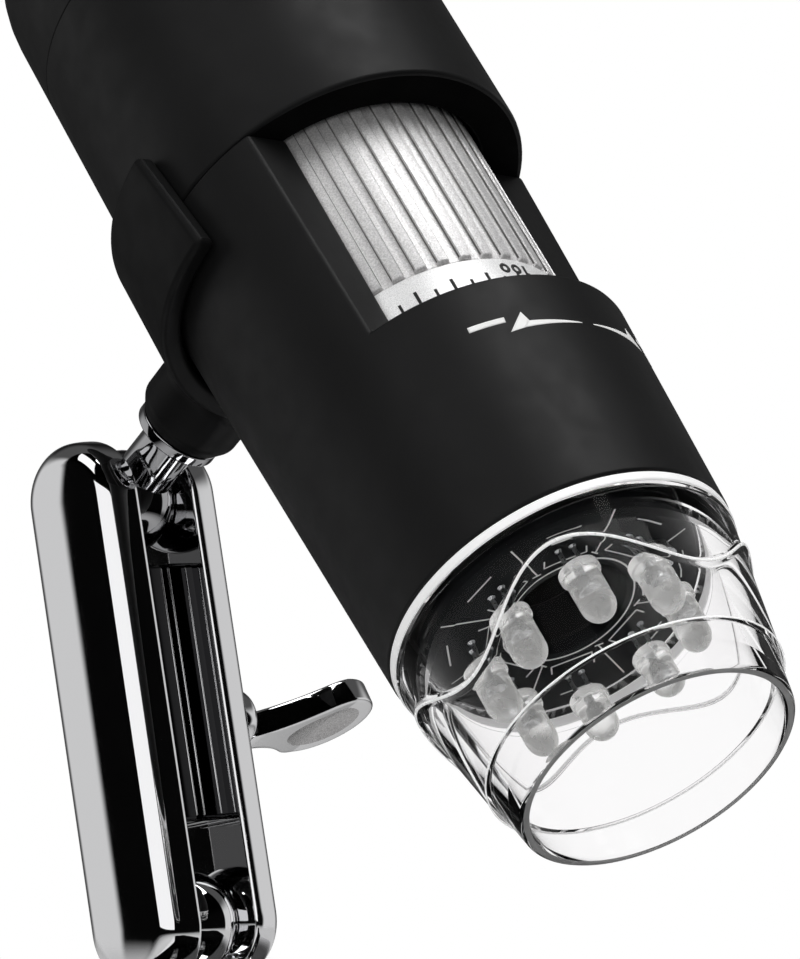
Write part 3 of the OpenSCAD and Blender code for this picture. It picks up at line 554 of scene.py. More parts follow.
def nose_rings():
    """The rest of the nose as turned rings: from the wall's foot round the lip, up the inside, and
    round the spigot and the flange to the wall's top."""
    lip_r = NOSE_RIM_R + NOSE_SLOPE * NOSE_LIP
    return lathe([
        (lip_r + NOSE_STEP, NOSE_LIP, 0), (lip_r, NOSE_LIP, 0.15), (NOSE_RIM_R, 0, 0.4),
        (NOSE_RIM_R - RIM_WALL, 0, 0.4), (NOSE_BORE, BORE_START, 1.0), (NOSE_BORE, SPIGOT_END, 0.1),
        (SPIGOT_R, SPIGOT_END, 0.1), (SPIGOT_R, FRONT_EDGE, 0), (NOSE_FLANGE_R, FRONT_EDGE, 0.12),
        (NOSE_FLANGE_R, NOSE_FLANGE, 0.12), (NOSE_FLANGE_R - FLANGE_STEP, NOSE_FLANGE, 0)], 5, 256)


def wave_highlight_strip():
    """A narrow strip along the crest of the raised wave: a painted highlight."""
    across = np.linspace(-CREST_HALF, CREST_HALF, 5)[:, None]
    station = wave + across
    return at_turn(nose_r(station, across / BEAD_HALF) + CREST_LIFT, nose_turns, station)


piece("nose_cone", [nose_wall(), nose_rings()], *SCOPE, clear_plastic, "nose_clear", ["clear_nose"])
# The bright lines on the flange, the lip and the wave's crest are painted highlights
piece("nose_edge_highlights", [ring(FLANGE_LINE_R, FLANGE_LINE, (0.1, 0.15, 0.1, 0.1), 4, 200),
                     ring(LIP_LINE_R, LIP_LINE, [0.03] * 4, 3, 200)], *SCOPE, edge_highlight_glow, "nose_clear")
# The grey ring on the nose's end is painted shade
piece("rim_shade_line", [ring(RIM_LINE_R, RIM_LINE, [0.01] * 4, 2, 200)], *SCOPE, rim_shade_grey, "nose_clear")
piece("wave_crest_highlight", [wave_highlight_strip()], *SCOPE, wave_highlight_glow, "nose_clear", thickness=0.02)


# Lamps on their board

LAMP_RING, LAMP_R, LAMP_COUNT, LAMP_TURN = 8.6, 1.5, 8, math.radians(4)
LAMP_SIDE, LAMP_FLANGE, LAMP_FLANGE_R, LAMP_FLANGE_H = 11.1, 14.9, LAMP_R + 0.25, 0.8
LEG_R, LEG_SINK, LEG_SIDE, SOLDER_R, SOLDER_H = 0.2, 0.2, 0.635, 0.34, 0.25
PRINT_FACE, PRINT_WIDTH, PRINT_RING_R = BOARD_FACE - 0.015, 0.14, (6.05, 6.2)
lamp_turns = LAMP_TURN + np.arange(LAMP_COUNT) * TAU / LAMP_COUNT


def lamp_dome():
    """One lamp: a dome, a straight side and a flange turned about the lamp's own axis."""
    arc = np.linspace(0, QUARTER, 13)
    dome = np.stack([LAMP_R * np.sin(arc), LAMP_SIDE - LAMP_R * np.cos(arc)], -1)
    rim = LAMP_FLANGE - LAMP_FLANGE_H
    foot = rounded([(LAMP_R, LAMP_SIDE, 0), (LAMP_R, rim, 0.1), (LAMP_FLANGE_R, rim, 0.1),
                    (LAMP_FLANGE_R, LAMP_FLANGE, 0.15), (0, LAMP_FLANGE, 0)], 4, closed=False)
    return turned(np.concatenate([dome, foot[1:]]), 40) + [LAMP_RING, 0, 0]


def lamp_core():
    """The cup and its post inside a lamp, with heights from the lamp's flange."""
    core = [(0, -2.0, 0), (0.35, -2.0, 0), (0.62, -2.5, 0.05), (0.75, -2.5, 0.05), (0.55, -1.3, 0.1),
            (0.3, -1.1, 0.1), (0.3, -0.2, 0), (0, -0.2, 0)]
    return lathe(core, 3, 24) + [LAMP_RING, 0, LAMP_FLANGE]


def lamp_leg(side):
    """One of a lamp's two legs, between its flange and the board."""
    start = LAMP_FLANGE - LEG_SINK
    leg = [(0, start, 0), (LEG_R, start, 0), (LEG_R, BOARD_FACE - SOLDER_H, 0.1),
           (SOLDER_R, BOARD_FACE, 0), (0, BOARD_FACE, 0)]
    return lathe(leg, 3, 16) + [LAMP_RING, side * LEG_SIDE, 0]


def board_line(start, end):
    """A straight printed line on the lamps' board, between two points."""
    start, end = np.array(start, float), np.array(end, float)
    side = unit(end - start) @ np.array([[0, 1], [-1, 0]]) * PRINT_WIDTH / 2
    rows = np.array([[start - side, end - side], [start + side, end + side]])
    return np.concatenate([rows, np.full((2, 2, 1), PRINT_FACE)], -1)


def board_print():
    """Printed brackets between the lamps, and a ring round the lens hole."""
    hole_ring = turned(np.array([[radius, PRINT_FACE] for radius in PRINT_RING_R]), 96)
    bracket = [((6.9, -1.9), (6.9, 1.9)), ((6.9, -1.9), (7.9, -1.9)), ((6.9, 1.9), (7.9, 1.9)),
               ((10.6, -1.5), (10.6, 1.5)), ((6.3, 2.7), (10.9, 4.4)), ((6.3, -2.2), (6.3, -3.0))]
    lines = [board_line(start, end) for start, end in bracket]
    return [hole_ring] + copied_round(lines, lamp_turns)


# The domes' faint glow is painted light; the lamps are not lit
piece("lamp_domes", copied_round([lamp_dome()], lamp_turns), *SCOPE, lamp_resin,
      "lamp_resin", ["led_lamps"])
piece("lamp_cores", copied_round([lamp_core()], lamp_turns), *SCOPE, steel, "screw_steel")
piece("lamp_legs", copied_round([lamp_leg(-1), lamp_leg(1)], lamp_turns), *SCOPE, steel, "screw_steel")
piece("lamp_board", [ring((LENS_HOLE, BOARD_BOSS_R), (BOARD_FACE, BOARD_BACK),
                          (0.08, 0.1, 0.1, 0.08), 3, 128)],
      *SCOPE, board_black, "board_black", ["led_board"])
piece("board_print", board_print(), *SCOPE, print_white, "board_black", thickness=0.03)


# Focus wheel: a smooth scale band and a drum of round ridges

WHEEL_R, BAND_R, JOURNAL_R, WHEEL_BORE = 13.4, 13.1, 12.2, 9.08
DRUM, BAND_END, WHEEL_ENDS = (36.7, 66.3), 45.0, (33.7, 69.3)
BAND_EDGE, BAND_END_EDGE = 0.15, 0.12
RIDGES, RIDGE_DEPTH, RIDGE_CROWN, RIDGE_CELLS = 40, 0.45, 0.05, 24
RIDGE_ENDS, RIDGE_MIDDLE = (BAND_END + 0.3, DRUM[1] - 0.3), 55.0
STEP_START, STEP_SHARE = 0.44, 0.14
GROOVE_SHARES, GROOVE_LIFT = (0.5, 0.555), 0.015
SLEEVE_R, SLEEVE = (12.9, BAND_R + 0.02), (36.9, BAND_END - 0.1)


def ridge_r(share):
    """Radius of the drum by the share of half a ridge's width: a nearly flat top, an eased step and
    a flat groove."""
    step = np.clip((share - STEP_START) / STEP_SHARE, 0, 1)
    fall = (RIDGE_DEPTH - RIDGE_CROWN) * step ** 2 * (3 - 2 * step)
    return WHEEL_R - RIDGE_CROWN * share ** 2 - fall


def wheel_drum():
    """The wheel as rows of radii round the axis: the drum's rows have a part or all of the ridges'
    height, and the rows of the band and journals are plain circles."""
    ridge = ridge_r(np.abs(np.linspace(-1, 1, RIDGE_CELLS + 1)[:-1]))
    lobes = np.append(np.tile(ridge, RIDGES), ridge[0])
    turn = np.linspace(0, TAU, RIDGE_CELLS * RIDGES + 1)
    low = WHEEL_R - RIDGE_DEPTH
    rows = [(WHEEL_BORE, WHEEL_ENDS[0], 0), (JOURNAL_R, WHEEL_ENDS[0], 0), (JOURNAL_R, DRUM[0], 0),
            (BAND_R - BAND_EDGE, DRUM[0], 0), (BAND_R, DRUM[0] + BAND_EDGE, 0),
            (BAND_R, BAND_END - BAND_END_EDGE, 0), (BAND_R - BAND_END_EDGE, BAND_END, 0),
            (low - 0.02, BAND_END, 0), (low, BAND_END + 0.02, 0.45), (low, BAND_END + 0.12, 0.85),
            (low, RIDGE_ENDS[0], 1), (low, RIDGE_MIDDLE, 1), (low, RIDGE_ENDS[1], 1),
            (low, DRUM[1], 0.5), (JOURNAL_R, DRUM[1], 0), (JOURNAL_R, WHEEL_ENDS[1], 0),
            (WHEEL_BORE, WHEEL_ENDS[1], 0), (WHEEL_BORE, WHEEL_ENDS[0], 0)]
    base, station, height = np.array(rows).T[:, :, None]
    return at_turn(base + height * (lobes - low), turn, station)


def groove_shade_strip(side):
    """Painted shade on the steep wall at one side of a ridge: a thin dark strip that follows the step."""
    share = np.linspace(*GROOVE_SHARES, 5)
    turn = math.pi / RIDGES * (1 + side * share)
    return at_turn(ridge_r(share) + GROOVE_LIFT, turn, np.array(RIDGE_ENDS)[:, None])


ridge_turns = np.arange(RIDGES) * TAU / RIDGES
piece("ridged_wheel", [wheel_drum()], *WHEEL, wheel_silver, "wheel_silver", ["focus_wheel"], crease=50)
# The thin dark strips on the ridges' steps are painted shade
piece("groove_shade_lines", copied_round([groove_shade_strip(-1), groove_shade_strip(1)], ridge_turns),
      *WHEEL, groove_shade_grey, "wheel_silver", thickness=0.02)
piece("scale_band", [ring(SLEEVE_R, SLEEVE, (0, 0.08, 0.08, 0), 3, 240)], *WHEEL,
      band_silver, "wheel_silver")


# Printed marks on the wheel's band and on the front housing

TICKS, TICK_START, TICK_STEP, TICK_FOOT = 50, -61.2, 7.2, 37.0
TICK_TOPS, TICK_HALVES = (43.25, 42.75), (0.62, 0.55)
ZERO_TURNS, ZERO_STATION, ZERO_STROKE = (-8.3, -2.9), 43.75, 0.3
ZERO_WIDTH, ZERO_HEIGHT, BAND_PRINT_LIFT = 1.02, 1.1, 0.035
ARROWS_MIDDLE = -2.2


def wrapped(corners, radius_at, cells):
    """A four-cornered mark laid on a round wall: straight in turn and station between its corners,
    given as (turn in degrees, station)."""
    first, second, third, fourth = np.array(corners, float)
    u = np.linspace(0, 1, cells + 1)[:, None, None]
    v = np.linspace(0, 1, 5)[None, :, None]
    flat = (1 - v) * ((1 - u) * first + u * second) + v * ((1 - u) * fourth + u * third)
    return at_turn(radius_at(flat[..., 1]), np.radians(flat[..., 0]), flat[..., 1])


def band_at(station):
    """Radius of the print on the wheel's band."""
    return BAND_R + BAND_PRINT_LIFT + 0 * station


def band_bar(start, end, low, high):
    """A bar on the band between two turns in degrees and two stations."""
    return wrapped([(start, low), (start, high), (end, high), (end, low)], band_at, 2)


def zero_mark(turn):
    """A round zero on the band: the strip between two ellipses."""
    angle = np.linspace(0, TAU, 41)
    inset = np.array([[0], [2 * ZERO_STROKE]])
    turns = turn + math.degrees(1 / BAND_R) * (ZERO_WIDTH - inset) / 2 * np.cos(angle)
    stations = ZERO_STATION + (ZERO_HEIGHT - inset) / 2 * np.sin(angle)
    return at_turn(band_at(stations), np.radians(turns), stations)


def scale_marks():
    """Ticks round the band, long and short by turns."""
    marks = []
    for k in range(TICKS):
        turn, half = TICK_START + k * TICK_STEP, TICK_HALVES[k % 2]
        marks.append(band_bar(turn - half, turn + half, TICK_FOOT, TICK_TOPS[k % 2]))
    return marks


def number_marks():
    """The number one hundred, upside down seen from the nose."""
    zeros = [zero_mark(turn) for turn in ZERO_TURNS]
    return [*zeros, band_bar(1.0, 2.3, 43.2, 44.3), band_bar(2.2, 3.6, 43.2, 43.5)]


def body_marks():
    """A minus bar, two slim arrows that point away from each other, and a plus sign."""
    bar = [(-40.9, 35.5), (-29.4, 35.45), (-29.6, 34.9), (-41.0, 34.95)]
    head = [(-29.7, 33.83), (-23.7, 35.65), (-22.4, 34.62), (-24.5, 34.0)]
    tail = [(-24.5, 34.0), (-4.5, 34.14), (-4.5, 34.24), (-22.4, 34.62)]
    mirrored = [[(2 * ARROWS_MIDDLE - turn, station) for turn, station in mark] for mark in (head, tail)]
    plus = [[(26.2, 35.0), (38.1, 35.0), (38.1, 35.5), (26.2, 35.5)],
            [(31.2, 33.5), (33.0, 33.5), (33.0, 37.0), (31.2, 37.0)]]
    return [wrapped(mark, cone_r, 16) for mark in [bar, head, tail, *mirrored, *plus]]


piece("scale_print", scale_marks() + number_marks(), *WHEEL, print_black, "wheel_silver", thickness=0.03)
piece("body_print", body_marks(), *SCOPE, print_white, "body_plastic", thickness=0.04)


# Snapshot button

BUTTON_R, BUTTON_RIM_R, BUTTON_RIM, BUTTON_TOP = 3.5, 4.3, (14.0, 14.8), 18.1
on_button = placed(on_scope([0, 0, BUTTON_STATION]), scope_axis, stud_axis, scope_side)
button = [(0, BUTTON_RIM[0], 0), (BUTTON_RIM_R, BUTTON_RIM[0], 0.1), (BUTTON_RIM_R, BUTTON_RIM[1], 0.1),
          (BUTTON_R, BUTTON_RIM[1], 0), (BUTTON_R, 17.75, 0.45), (2.2, 18.02, 1.0), (0, BUTTON_TOP, 0)]
piece("button_cap", [lathe(button, 5, 64)], on_button, "button", button_rubber, "button_rubber",
      ["snapshot_button"])


# Clip round the body, with its boss

CLIP_IN, CLIP_OUT, CLIP_HALF = 17.6, 19.5, 6.1
CLIP_CORNER, CLIP_END, CORNER_LEFT = 0.55, 0.7, 0.02
CLIP_START, CLIP_STOP = math.radians(74), math.radians(266.4)
CLIP_SLANT = math.radians(2.5) / CLIP_HALF


def clip_band():
    """The clip's section, a rounded rectangle, carried round the body; at each end the section
    shrinks along a quarter circle and closes on its middle line."""
    middle, sweep = (CLIP_OUT + CLIP_IN) / 2, CLIP_STOP - CLIP_START
    reach = CLIP_END / middle
    arc = np.linspace(0, QUARTER, 7)
    run = np.linspace(0, 1, 97)[1:-1]
    end = CLIP_END * (1 - np.sin(arc))
    inset = np.minimum(np.concatenate([end, 0 * run, end[::-1]]), CLIP_CORNER - CORNER_LEFT)
    turn = np.concatenate([
        CLIP_START + reach * (1 - np.cos(arc)), CLIP_START + reach + run * (sweep - 2 * reach),
        CLIP_STOP - reach * (1 - np.cos(arc[::-1]))])
    along, out = round_rectangle(2 * CLIP_HALF, CLIP_OUT - CLIP_IN, CLIP_CORNER, inset, 6)
    share = (turn - CLIP_START) / sweep
    lean = np.clip((share - 0.5) * 2, 0, 1)[:, None] * CLIP_SLANT * along
    band = at_turn(middle + out, turn[:, None] - lean, CLIP_STATION + along)
    ends = [np.stack([band[row], at_turn(middle, turn[row] - lean[row], CLIP_STATION + along[row])])
            for row in (0, -1)]
    return [band, *ends]


piece("clip_ring", clip_band(), on_scope, "holder", clip_black, "clip_plastic", ["collar_clip"])

boss = [(0, 10.2, 0), (2.4, 10.2, 0), (4.0, 10.1, 0.3), (4.8, 11.4, 1.2), (4.85, 15.2, 2.0),
        (6.0, 17.3, 0.6), (5.6, 18.6, 0), (0, 18.2, 0)]
piece("clip_boss", [lathe(boss, 8, 96)], on_stud, "holder", clip_black, "clip_plastic")


# Ball studs

BALL_R, NECK_R, NECK_START = 4.75, 2.6, 4.4
STUD_FLANGE_R, STUD_FLANGE, STUD_THREAD_R, STUD_END = 4.0, (8.9, 10.0), 2.0, 15.0
LOWER_BALL_Z, FLANGE_Z, FOOT_FLANGE_R, FOOT_FLANGE_H = 19.7, 8.2, 5.5, 1.6


def ball_profile(corners):
    """A ball, its neck and what follows: the ball's arc ends where it meets the neck."""
    meet = math.pi - math.asin(NECK_R / BALL_R)
    arc = np.linspace(0, meet, 33)
    ball = np.stack([BALL_R * np.sin(arc), -BALL_R * np.cos(arc)], -1)
    foot = rounded([(NECK_R, NECK_START, 0), *corners], 5, closed=False)
    return np.concatenate([ball, foot])


upper_profile = ball_profile([
    (NECK_R, STUD_FLANGE[0], 0.5), (STUD_FLANGE_R, STUD_FLANGE[0], 0.2),
    (STUD_FLANGE_R, STUD_FLANGE[1], 0.2), (STUD_THREAD_R, STUD_FLANGE[1], 0),
    (STUD_THREAD_R, STUD_END, 0.3), (0, STUD_END, 0)])
# The upper stud's darker chrome is painted shade
piece("upper_stud", [turned(upper_profile, 96)], on_stud, "head", shaded_stud_chrome, "chrome",
      ["upper_ball_stud"])

# The lower stud is drawn downwards from its ball
foot_end = LOWER_BALL_Z - FLANGE_Z
foot_start = foot_end - FOOT_FLANGE_H
lower_profile = ball_profile([
    (NECK_R, foot_start, 0.8), (FOOT_FLANGE_R, foot_start, 0.3), (FOOT_FLANGE_R, foot_end, 0.2),
    (0, foot_end, 0)]) * [1, -1] + [0, LOWER_BALL_Z]
piece("lower_stud", [turned(lower_profile, 96)], on_foot, "foot", chrome, "chrome", ["lower_ball_stud"])


# Arm: two shells with sockets, and the thick blocks between them

ARM_SPAN, ARM_HALF, ARM_OUT, ARM_IN = 38.5, 5.5, 7.75, 3.6
SHELL_EDGE, SHELL_RIM, FACE_CROWN, WALL_DRAFT = 2.0, 0.3, 0.16, math.radians(8)
SOCKET_R, SCREW_DROP = 4.81, 1.1
BLOCK_LENGTH, BLOCK_WIDTH, BLOCK_CORNER, BLOCK_SINK = 23.5, 7.8, 0.6, 0.2
BLOCK_GAP, BLOCK_MIDDLE = 0.4, ARM_SPAN / 2 + 1.2
BEAD_R, BEAD_ACROSS, BEAD_DEPTHS, BEAD_SHORT = 0.1, 3.85, (BLOCK_GAP + 0.1, 2.7), 0.5


def stadium(distance):
    """Points at a distance from the arm's middle line: two straight runs and two half circles."""
    run = np.linspace(0, ARM_SPAN, 97)[:-1]
    half = np.linspace(0, math.pi, 49)[:-1]
    line = np.concatenate([run, 0 * half + ARM_SPAN, run[::-1], 0 * half, [0]])
    turn = np.concatenate([0 * run, half, 0 * run + math.pi, half + math.pi, [0]])
    distance = np.asarray(distance, float)[:, None]
    return distance * np.cos(turn), line + distance * np.sin(turn)


def arm_shell(side):
    """One shell: a section carried round a stadium. Its outer face is slightly crowned, its edge is
    a circle's arc, its wall curves out to the parting line, and its inner face has a socket over
    each ball."""
    draft = math.tan(WALL_DRAFT)
    tall = ARM_OUT - FACE_CROWN - SHELL_EDGE * (1 - math.sin(WALL_DRAFT)) - ARM_IN - SHELL_RIM
    start = ARM_HALF - SHELL_EDGE * math.cos(WALL_DRAFT) - tall / 2 * draft
    crown = np.linspace(0, start, 12)
    arc = np.linspace(0, QUARTER - WALL_DRAFT, 11)[1:]
    wall = np.linspace(1, 0, 9)[1:] * tall
    lip = np.linspace(0, QUARTER, 5)[1:]
    inner = np.linspace(ARM_HALF - SHELL_RIM, 0, 34)[1:]
    out = np.concatenate([
        crown, start + SHELL_EDGE * np.sin(arc), ARM_HALF - wall ** 2 / tall / 2 * draft,
        ARM_HALF - SHELL_RIM * (1 - np.cos(lip)), inner])
    height = np.concatenate([
        ARM_OUT - FACE_CROWN * (crown / crown[-1]) ** 2,
        ARM_OUT - FACE_CROWN - SHELL_EDGE * (1 - np.cos(arc)), ARM_IN + SHELL_RIM + wall,
        ARM_IN + SHELL_RIM * (1 - np.sin(lip)), 0 * inner + ARM_IN])[:, None]
    x, z = stadium(out)
    near = np.minimum(np.hypot(x, z), np.hypot(x, z - ARM_SPAN))
    socket = np.sqrt(np.clip(SOCKET_R ** 2 - near ** 2, 0, None))
    inside = (np.arange(len(out)) >= len(out) - len(inner))[:, None]
    y = np.where(inside, np.maximum(height, socket), height)
    return np.stack([x, side * y, z], -1)


def arm_block(side):
    """The thick block on the inside of a shell."""
    patches = slab(BLOCK_LENGTH, BLOCK_WIDTH, BLOCK_CORNER, BLOCK_GAP, ARM_IN + BLOCK_SINK,
                   low_edge=0.25, high_edge=0.05, cells=4)
    return [np.stack([p[..., 1], side * p[..., 2], BLOCK_MIDDLE + p[..., 0]], -1) for p in patches]


def block_beads(side):
    """Slim round beads along the long edges of a block: closed rods with rounded ends."""
    half = BLOCK_LENGTH / 2 - BEAD_SHORT
    rod = lathe([(0, -half, 0), (BEAD_R, -half, 0.08), (BEAD_R, half, 0.08), (0, half, 0)], 3, 16)
    return [rod + [across, side * depth, BLOCK_MIDDLE]
            for across in (-BEAD_ACROSS, BEAD_ACROSS) for depth in BEAD_DEPTHS]


# The blocks' nearly black chrome is painted shade in the recess between the shells
for side, name, body, node in ((-1, "arm_front_half", "arm", "arm_left_shell"),
                               (1, "arm_rear_half", "clamp", "arm_right_shell")):
    piece(name, [arm_shell(side)], on_arm, body, chrome, "chrome", [node])
    piece(name.replace("half", "block"), arm_block(side), on_arm, body, recess_shade_chrome, "chrome")
    piece(name.replace("half", "beads"), block_beads(side), on_arm, body, chrome, "chrome")


# Thumb screw: a barrel and a dished spade

SPADE_TURN = math.radians(20)
SHANK_R, SHANK_END, BARREL_R, BARREL_END, BARREL_TIP_R = 1.9, -6.0, 2.9, 11.55, 1.4
SPADE_REACH, SPADE_R, SPADE_HALF, SPADE_BEND = 10.9, 5.0, 1.2, 0.3
NECK_HALF, NECK_SINK, FLARE_R = 1.3, 1.0, 20.0
BLADE_LEAN, BLADE_DROP, TURN_CROWDING, TINY = 0.11, 0.1, 1.6, 1e-6
DISH_R, DISH_DEPTH, DISH_TONGUE, TONGUE_POWER = 3.5, 0.4, 1.3, 6


def screw_turned(points):
    """Turns points about the screw's axis by the spade's turn."""
    x, y, z = np.moveaxis(np.asarray(points), -1, 0)
    cos, sin = math.cos(SPADE_TURN), math.sin(SPADE_TURN)
    return np.stack([x * cos - z * sin, y, x * sin + z * cos], -1)


def spade_edge(turn):
    """Distance from the middle of the spade's round end to its edge: the circle, the hollow curve
    beside the neck, the neck's side or its end, by the angle from the neck's direction."""
    angle = np.abs(np.angle(np.exp(1j * (np.asarray(turn) + QUARTER))))
    rise = NECK_HALF + FLARE_R
    run = math.sqrt((SPADE_R + FLARE_R) ** 2 - rise ** 2)
    ahead = run * np.cos(angle) + rise * np.sin(angle)
    gap = np.clip(ahead ** 2 - run ** 2 - rise ** 2 + FLARE_R ** 2, 0, None)
    side = NECK_HALF / np.maximum(np.sin(angle), TINY)
    end = (SPADE_REACH + NECK_SINK) / np.maximum(np.cos(angle), TINY)
    edge = np.where(angle < math.atan2(NECK_HALF, run), side, ahead - np.sqrt(gap))
    return np.where(angle < math.atan2(rise, run), np.minimum(edge, end), SPADE_R)


def dish_edge(turn):
    """Edge of the thumb dish: a circle drawn out a little towards the neck."""
    return DISH_R + DISH_TONGUE * np.clip(-np.sin(turn), 0, None) ** TONGUE_POWER


def spade_points(radius, turn, height):
    """Points round the middle of the spade's round end, placed out along the screw: the blade leans,
    so that its neck lies a little lower than its end."""
    radius, turn, height = np.broadcast_arrays(radius, turn, height)
    across, out = radius * np.cos(turn), radius * np.sin(turn)
    lift = BLADE_LEAN * np.minimum(out, 0) - BLADE_DROP
    return screw_turned(np.stack([across, out + BARREL_END + SPADE_REACH, height + lift], -1))


# Turns round the spade, closer together towards the neck
spade_share = np.linspace(-1, 1, 241)
spade_turns = QUARTER + math.pi * np.sign(spade_share) * (1 - (1 - np.abs(spade_share)) ** TURN_CROWDING)


def spade():
    """The spade's lip and wall, from the upper dish round the edge to the lower dish."""
    rim, dish = spade_edge(spade_turns) - SPADE_BEND, dish_edge(spade_turns)
    lip = np.linspace(0, 1, 5)[:, None]
    arc = np.linspace(0, QUARTER, 5)[:, None]
    face = dish + lip * (rim - dish)
    corner = rim + SPADE_BEND * np.sin(arc)
    radius = np.concatenate([face, corner[1:], corner[::-1], face[::-1][1:]])
    drop = SPADE_HALF - SPADE_BEND * (1 - np.cos(arc))
    height = np.concatenate([0 * lip + SPADE_HALF, drop[1:], -drop[::-1], 0 * lip[1:] - SPADE_HALF])
    return spade_points(radius, spade_turns, height)


def spade_dishes():
    """The shallow dishes in the spade's two faces, whose depth falls off with the square of the
    radius."""
    share = np.linspace(0, 1, 10)[:, None]
    height = SPADE_HALF - DISH_DEPTH * (1 - share ** 2)
    return [spade_points(share * dish_edge(spade_turns), spade_turns, side * height) for side in (1, -1)]


def barrel():
    """The screw's barrel and shank, turned about the screw's axis."""
    grid = lathe([
        (0, SHANK_END, 0), (SHANK_R, SHANK_END, 0.3), (SHANK_R, ARM_OUT, 0), (BARREL_R, ARM_OUT, 0.3),
        (BARREL_R, BARREL_END - 0.6, 1.4), (BARREL_TIP_R, BARREL_END, 0.6), (0, BARREL_END, 0)], 6, 64)
    return screw_turned(grid[..., [0, 2, 1]])


screw_place = [0, 0, ARM_SPAN / 2 - SCREW_DROP]
piece("spade_screw", [spade() + screw_place, barrel() + screw_place], on_arm, "screw", chrome,
      "chrome", ["thumb_screw"])
piece("spade_dishes", [dish + screw_place for dish in spade_dishes()], on_arm, "screw", dish_chrome,
      "chrome")


# Base plate and pad

BASE_LENGTH, BASE_WIDTH, BASE_CORNER, PLATE_TOP = 92.0, 60.0, 16.0, 7.7
PAD_INSET, PAD_TOP = 3.0, 1.2

piece("base_slab", slab(BASE_LENGTH, BASE_WIDTH, BASE_CORNER, PAD_TOP, PLATE_TOP,
                        low_edge=0.4, high_edge=2.0, cells=8),
      on_stand, "base", chrome, "chrome", ["base_plate"])
piece("base_foot_pad", slab(BASE_LENGTH - 2 * PAD_INSET, BASE_WIDTH - 2 * PAD_INSET,
                            BASE_CORNER - PAD_INSET, 0.0, PAD_TOP, low_edge=0.3, high_edge=0.05, cells=4),
      on_stand, "base", pad_rubber, "pad_rubber", ["base_pad"])


# Finishes of the inner parts, whose solids stay as they are

finishes = ((steel, "friction_washer foot_screw led_screws lens_ring"),
            (steel, "board_spacers board_screws housing_screws"), (rod_steel, "guide_rods"),
            (inner_black, "lens_carriage"), (lens_glass, "objective_lens"),
            (chip_black, "image_sensor control_chip snapshot_switch"),
            (board_green, "sensor_board control_board"), (brass, "clip_insert"))
for finish, nodes in finishes:
    for node in nodes.split():
        slots = frame["nodes"][node].data.materials
        slots.clear()
        slots.append(finish)


# Studio: a white sweep, a dark room in front, and soft boxes

CAMERA_PLACE, CAMERA_TURN = (0.27075, -0.3169, 0.0595), math.radians(40.17)
CAMERA_LENS, CAMERA_SENSOR, CAMERA_CLIP = 180.5, 36.0, (0.01, 20.0)
SWEEP_TURN, SWEEP_FALL = math.radians(8.5), 0.8
FLOOR_CORNERS = [(-3.0, -3.0, 0), (3.0, -3.0, 0), (3.0, 3.0, 0), (-3.0, 3.0, 0)]
FLOOR_NEAR, FLOOR_FAR, FLOOR_TONE, FLOOR_DIM = 0.06, 0.17, 0.86, 0.65
STAGE_MIDDLE = np.array([0.0, 0.0, 0.06])
to_camera = np.array([math.sin(CAMERA_TURN), -math.cos(CAMERA_TURN), 0])
to_right = np.array([math.cos(CAMERA_TURN), math.sin(CAMERA_TURN), 0])
to_top = np.array([0, 0, 1.0])


def share_along(tree, direction, change, low, high):
    """A value that goes from low to high as a ray's share along a direction crosses a short range."""
    where = new_node(tree, "TexCoord").outputs["Generated"]
    facing = new_node(tree, "VectorMath", where, direction)
    facing.operation = "DOT_PRODUCT"
    level = new_node(tree, "MapRange", facing.outputs["Value"], *change, low, high)
    level.interpolation_type = "SMOOTHSTEP"
    return level.outputs["Result"]


def sky(tree, *shares):
    """A white background whose strength is the product of its shares along directions."""
    total, *others = [share_along(tree, *share) for share in shares]
    for share in others:
        product = new_node(tree, "Math", total, share)
        product.operation = "MULTIPLY"
        total = product.outputs[0]
    return new_node(tree, "Background", WHITE, total).outputs[0]


def chosen(tree, share, first, second):
    """The first shader where the share is zero, and the second where it is one."""
    return new_node(tree, "MixShader", share, first, second).outputs[0]


def empty_tree(owner):
    """The node tree of a world or material, with nothing in it."""
    owner.use_nodes = True
    owner.node_tree.nodes.clear()
    return owner.node_tree


def room():
    """The world: even light for matt faces; for mirrors bright cards at both sides of a dark room;
    through glass a bright sweep below and behind; and plain white for the camera. A share is a
    direction, the range in which it changes, and its levels below and above."""
    world = bpy.data.worlds.new("studio_room")
    bpy.context.scene.world = world
    tree = empty_tree(world)
    path = new_node(tree, "LightPath").outputs
    away = -math.cos(SWEEP_TURN) * to_camera - math.sin(SWEEP_TURN) * to_right
    behind = unit(away - SWEEP_FALL * to_top)
    even = sky(tree, (to_top, (-1.0, 1.0), 0.06, 0.62))
    mirror = sky(tree, (away, (0.04, 0.085), 0.002, 0.72), (away, (0.5, 0.85), 1.0, 0.12),
                 (to_top, (-0.3, -0.15), 0.12, 1.0), (to_top, (0.22, 0.5), 1.0, 0.12))
    glass = sky(tree, (behind, (-0.6, -0.1), 0.02, 1.0))
    plain = new_node(tree, "Background", WHITE, 1.0).outputs[0]
    shade = chosen(tree, path["Is Glossy Ray"], even, mirror)
    shade = chosen(tree, path["Is Transmission Ray"], shade, glass)
    new_node(tree, "OutputWorld", chosen(tree, path["Is Camera Ray"], shade, plain))


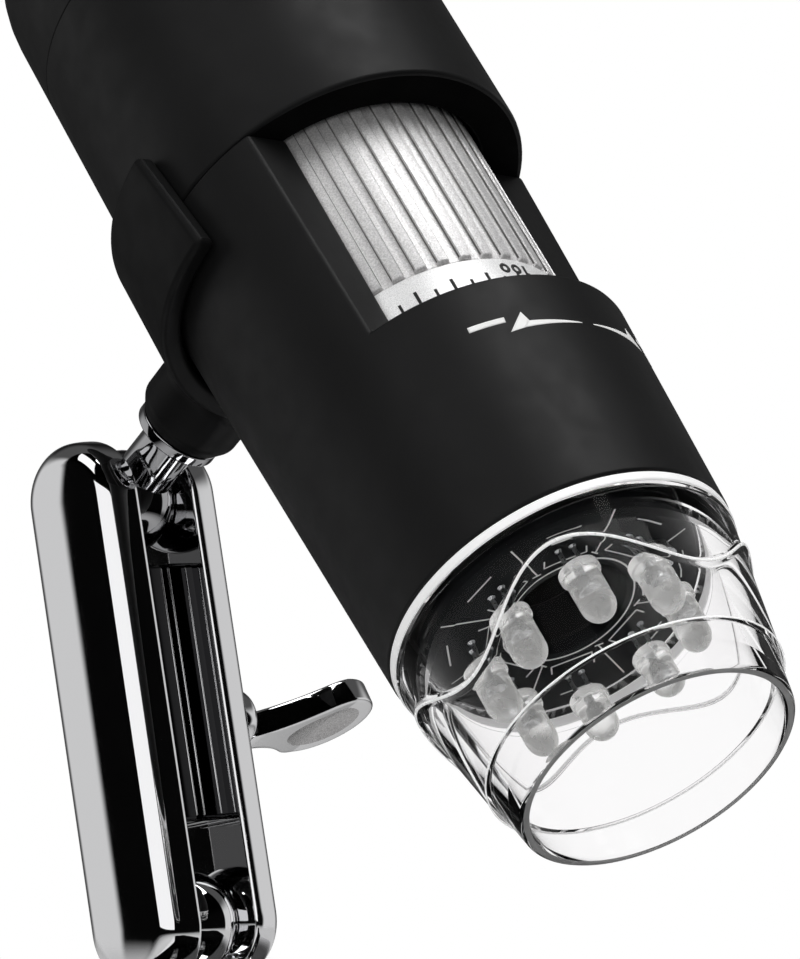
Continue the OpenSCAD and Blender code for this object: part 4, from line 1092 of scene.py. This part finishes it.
def floor():
    """A pale floor: plain near the object, where its shadow falls, and dimmer to the rays that light
    the object from below; further out it is white to the camera and lets all other rays through."""
    mesh = bpy.data.meshes.new("floor")
    mesh.from_pydata(FLOOR_CORNERS, [], [(0, 1, 2, 3)])
    made = added("floor", mesh)
    material = bpy.data.materials.new("pale_floor")
    tree = empty_tree(material)
    distance = new_node(tree, "VectorMath", new_node(tree, "TexCoord").outputs["Object"])
    distance.operation = "LENGTH"
    fade = new_node(tree, "MapRange", distance.outputs["Value"], FLOOR_NEAR, FLOOR_FAR)
    fade.interpolation_type = "SMOOTHSTEP"
    plain = new_node(tree, "BsdfDiffuse", (*grey(FLOOR_TONE), 1)).outputs[0]
    dim = new_node(tree, "BsdfDiffuse", (*grey(FLOOR_DIM), 1)).outputs[0]
    white = new_node(tree, "Emission", WHITE, 1.0).outputs[0]
    through = new_node(tree, "BsdfTransparent").outputs[0]
    path = new_node(tree, "LightPath").outputs
    far = chosen(tree, path["Is Camera Ray"], through, white)
    near = chosen(tree, path["Is Transmission Ray"], dim, plain)
    near = chosen(tree, path["Is Camera Ray"], near, plain)
    new_node(tree, "OutputMaterial", chosen(tree, fade.outputs["Result"], near, far))
    mesh.materials.append(material)


def soft_box(name, place, width, height, power):
    """A rectangular lamp at a place round the object, facing its middle."""
    lamp = bpy.data.lights.new(name, "AREA")
    lamp.shape = "RECTANGLE"
    lamp.size, lamp.size_y, lamp.energy = width, height, power
    made = added(name, lamp)
    spot = STAGE_MIDDLE + place[0] * to_right + place[1] * to_camera + place[2] * to_top
    aim = unit(spot - STAGE_MIDDLE)
    across = unit(np.cross(to_top, aim))
    turn = np.eye(4)
    turn[:3] = np.stack([across, np.cross(aim, across), aim, spot], -1)
    made.matrix_world = Matrix(turn.tolist())
    made.visible_camera = False


room()
floor()

# Name, place, width, height and power of each box
for box in (("front_box", (-0.185, 0.869, 0.141), 1.4, 0.42, 2.1),
            ("side_box", (-0.511, 0.319, 0.669), 0.5, 0.5, 1.0),
            ("top_box", (0.2, 0.08, 0.75), 0.55, 0.45, 3.2)):
    soft_box(*box)

camera = bpy.data.cameras.new("camera")
camera.lens, camera.sensor_width = CAMERA_LENS, CAMERA_SENSOR
camera.clip_start, camera.clip_end = CAMERA_CLIP
camera_object = added("camera", camera)
camera_object.location = CAMERA_PLACE
camera_object.rotation_euler = (QUARTER, 0, CAMERA_TURN)
bpy.context.scene.camera = camera_object
bpy.context.scene.view_settings.view_transform = "Standard"
